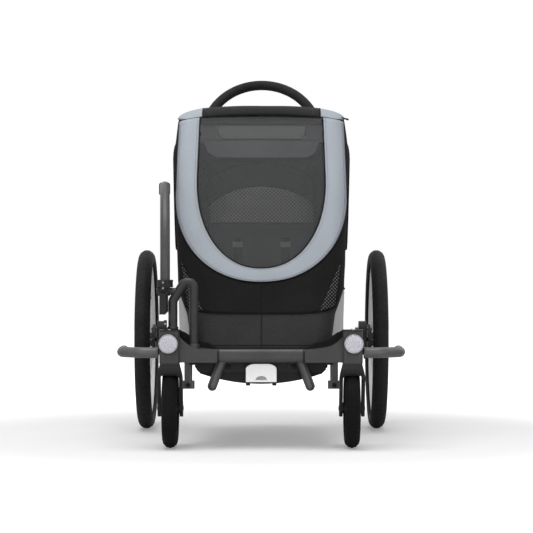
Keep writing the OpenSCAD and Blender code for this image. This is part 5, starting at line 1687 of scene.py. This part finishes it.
back_mid_z = (back_low.z + back_high.z) / 2
back_plane_y = back_high.y - BACK_GAP
back_shape = pillow(back_w - PAD_SLACK, back_l - PAD_SLACK, BACK_EDGE, BACK_CROWN)
backrest = pad("backrest_pad", back_shape, lambda p: Vector((p.x, back_plane_y - p.z, back_mid_z + p.y)), 4,
               back_l, lambda p: p.y > back_plane_y - HELD_T)
KNIT_LOW_Z = 574
KNIT_HIGH_Z = 676
KNIT_HALF = 166
knit_rise = KNIT_HIGH_Z - KNIT_LOW_Z
for cover in (seat_weave, seat_knit, lap_weave):
    backrest.data.materials.append(cover)
for face in backrest.data.polygons:
    spot = face.center / MM
    arch = KNIT_LOW_Z + knit_rise * math.sqrt(max(0.0, 1 - (spot.x / KNIT_HALF) ** 2))
    if spot.y < back_high.y - 8 and spot.z < arch:
        face.material_index = 1 if spot.z > KNIT_LOW_Z else 2
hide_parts("backrest_cushion")
back_faces = BVHTree.FromPolygons([v.co for v in backrest.data.vertices],
                                  [f.vertices for f in backrest.data.polygons])


def on_backrest(spots):
    """Points on the front of the backrest at places of (x, z), without those beside it."""
    found = []
    for x, z in spots:
        hit = back_faces.ray_cast(Vector((x, -300, z)) * MM, Vector((0, 1, 0)))[0]
        if hit is not None and hit.y / MM <= back_high.y - 6:
            found.append(hit / MM + Vector((0, -0.6, 0)))
    return found


# Half width, foot and rise of the piped arches
ARCHES = ((KNIT_HALF, KNIT_LOW_Z, knit_rise),
          (KNIT_HALF + 4, KNIT_LOW_Z + 70, back_high.z - KNIT_LOW_Z - 80))
ARCH_STEPS = 48
back_cords = []
for half, foot_z, rise in ARCHES:
    turns = [math.pi * k / ARCH_STEPS for k in range(ARCH_STEPS + 1)]
    back_cords.append((on_backrest([(half * math.cos(t), foot_z + rise * math.sin(t)) for t in turns]), 1.8))
knit_foot = [(KNIT_HALF * (2 * k / ARCH_STEPS - 1), KNIT_LOW_Z) for k in range(ARCH_STEPS + 1)]
back_cords.append((on_backrest(knit_foot), 1.6))
back_piping = piped("backrest_piping", back_cords, thread_black, "chassis")
crumple(backrest, back_piping)


# Belt
# Two padded shoulder straps with a pale tab hang on the backrest and run down to the buckle on the seat,
# whose red button frees them. Webbing of black nylon joins them.
PAD_X = 66
PAD_HALF = 15
PAD_Z = (420, 530)
PAD_T = 8
PAD_ROWS, PAD_STEPS = 30, 16
TAB_HALF = 14
TAB_Z = (507, 522)
STRAP_HALF = 11
STRAP_T = 1.4
harness_low, harness_high = box_mm("harness")
pad_back_y = harness_high.y
webbing = woven("webbing", level(26), 0.6, 2.2, 0.3, spread=0.2)
pad_cloth = woven("pad_cloth", level(54), 0.82, 1.4, 0.2)
tab_pale = woven("tab_pale", level(190), 0.6, 1.4, 0.15, spread=0.06)


def strap_part(line):
    """Flat strap along a line, as wide as the webbing across X."""
    across_way = Vector((STRAP_HALF, 0, 0))
    loops = []
    for i, place in enumerate(line):
        way = (line[min(i + 1, len(line) - 1)] - line[max(i - 1, 0)]).normalized()
        face_way = way.cross(across_way).normalized() * STRAP_T / 2
        loops.append([place + across_way + face_way, place + across_way - face_way,
                      place - across_way - face_way, place - across_way + face_way])
    return skin(loops)


for side, side_name in SIDES:
    pad_x = side * PAD_X
    loops = []
    for i in range(PAD_ROWS + 1):
        up = 2 * i / PAD_ROWS - 1
        half = PAD_HALF * max(0.05, 1 - abs(up) ** 8) ** 0.4
        thick = PAD_T / 2 * max(0.1, 1 - abs(up) ** 10)
        z = (sum(PAD_Z) + up * (PAD_Z[1] - PAD_Z[0])) / 2
        loops.append([(pad_x + half * c, pad_back_y - PAD_T / 2 + thick * s, z) for c, s in ring(PAD_STEPS)])
    shoulder = make(f"shoulder_pad_{side_name}", [skin(loops)], pad_cloth, "chassis")
    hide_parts("harness")
    tab_shape = slab((pad_x - TAB_HALF, pad_back_y - PAD_T - 0.8, TAB_Z[0]),
                     (pad_x + TAB_HALF, pad_back_y - PAD_T + 2, TAB_Z[1]), 0.8)
    tab = make(f"shoulder_tab_{side_name}", [tab_shape], tab_pale, "chassis")
    strap_corners = [Vector(p) for p in (
        (pad_x, pad_back_y - 6, PAD_Z[0] + 10), (pad_x, pad_back_y - 8, 400), (side * 62, 118, 352),
        (side * 48, 70, 336), (side * 30, 22, harness_low.z + 8))]
    strap_line = strap_corners[:1]
    for a, b in zip(strap_corners, strap_corners[1:]):
        strap_line += [a.lerp(b, k / 5) for k in range(1, 6)]
    high_line = [Vector((pad_x, pad_back_y - reach, PAD_Z[1] + up))
                 for reach, up in ((5, -10), (3, 3), (-12, 9))]
    strap = make(f"belt_webbing_{side_name}", [strap_part(strap_line), strap_part(high_line)], webbing,
                 "chassis")
    crumple(shoulder, tab, strap)
BUCKLE_HALF = (28, 25)
BUCKLE_Y = 10
BUCKLE_STEPS = 48
# Share of the full outline, and height
BUCKLE_PROFILE = ((0.9, 0), (1.0, 3), (1.0, 12), (0.94, 16), (0.86, 18), (0.46, 18), (0.44, 11))
buckle_line = [(BUCKLE_HALF[0] * math.copysign(abs(c) ** 0.5, c),
                BUCKLE_HALF[1] * math.copysign(abs(s) ** 0.5, s)) for c, s in ring(BUCKLE_STEPS)]
buckle_shape = skin([[(x * share, BUCKLE_Y + y * share, harness_low.z + height) for x, y in buckle_line]
                     for share, height in BUCKLE_PROFILE])
buckle = make("belt_buckle", [buckle_shape], black_mould, "chassis")
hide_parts("harness")
dress(red_mould, "buckle_button")
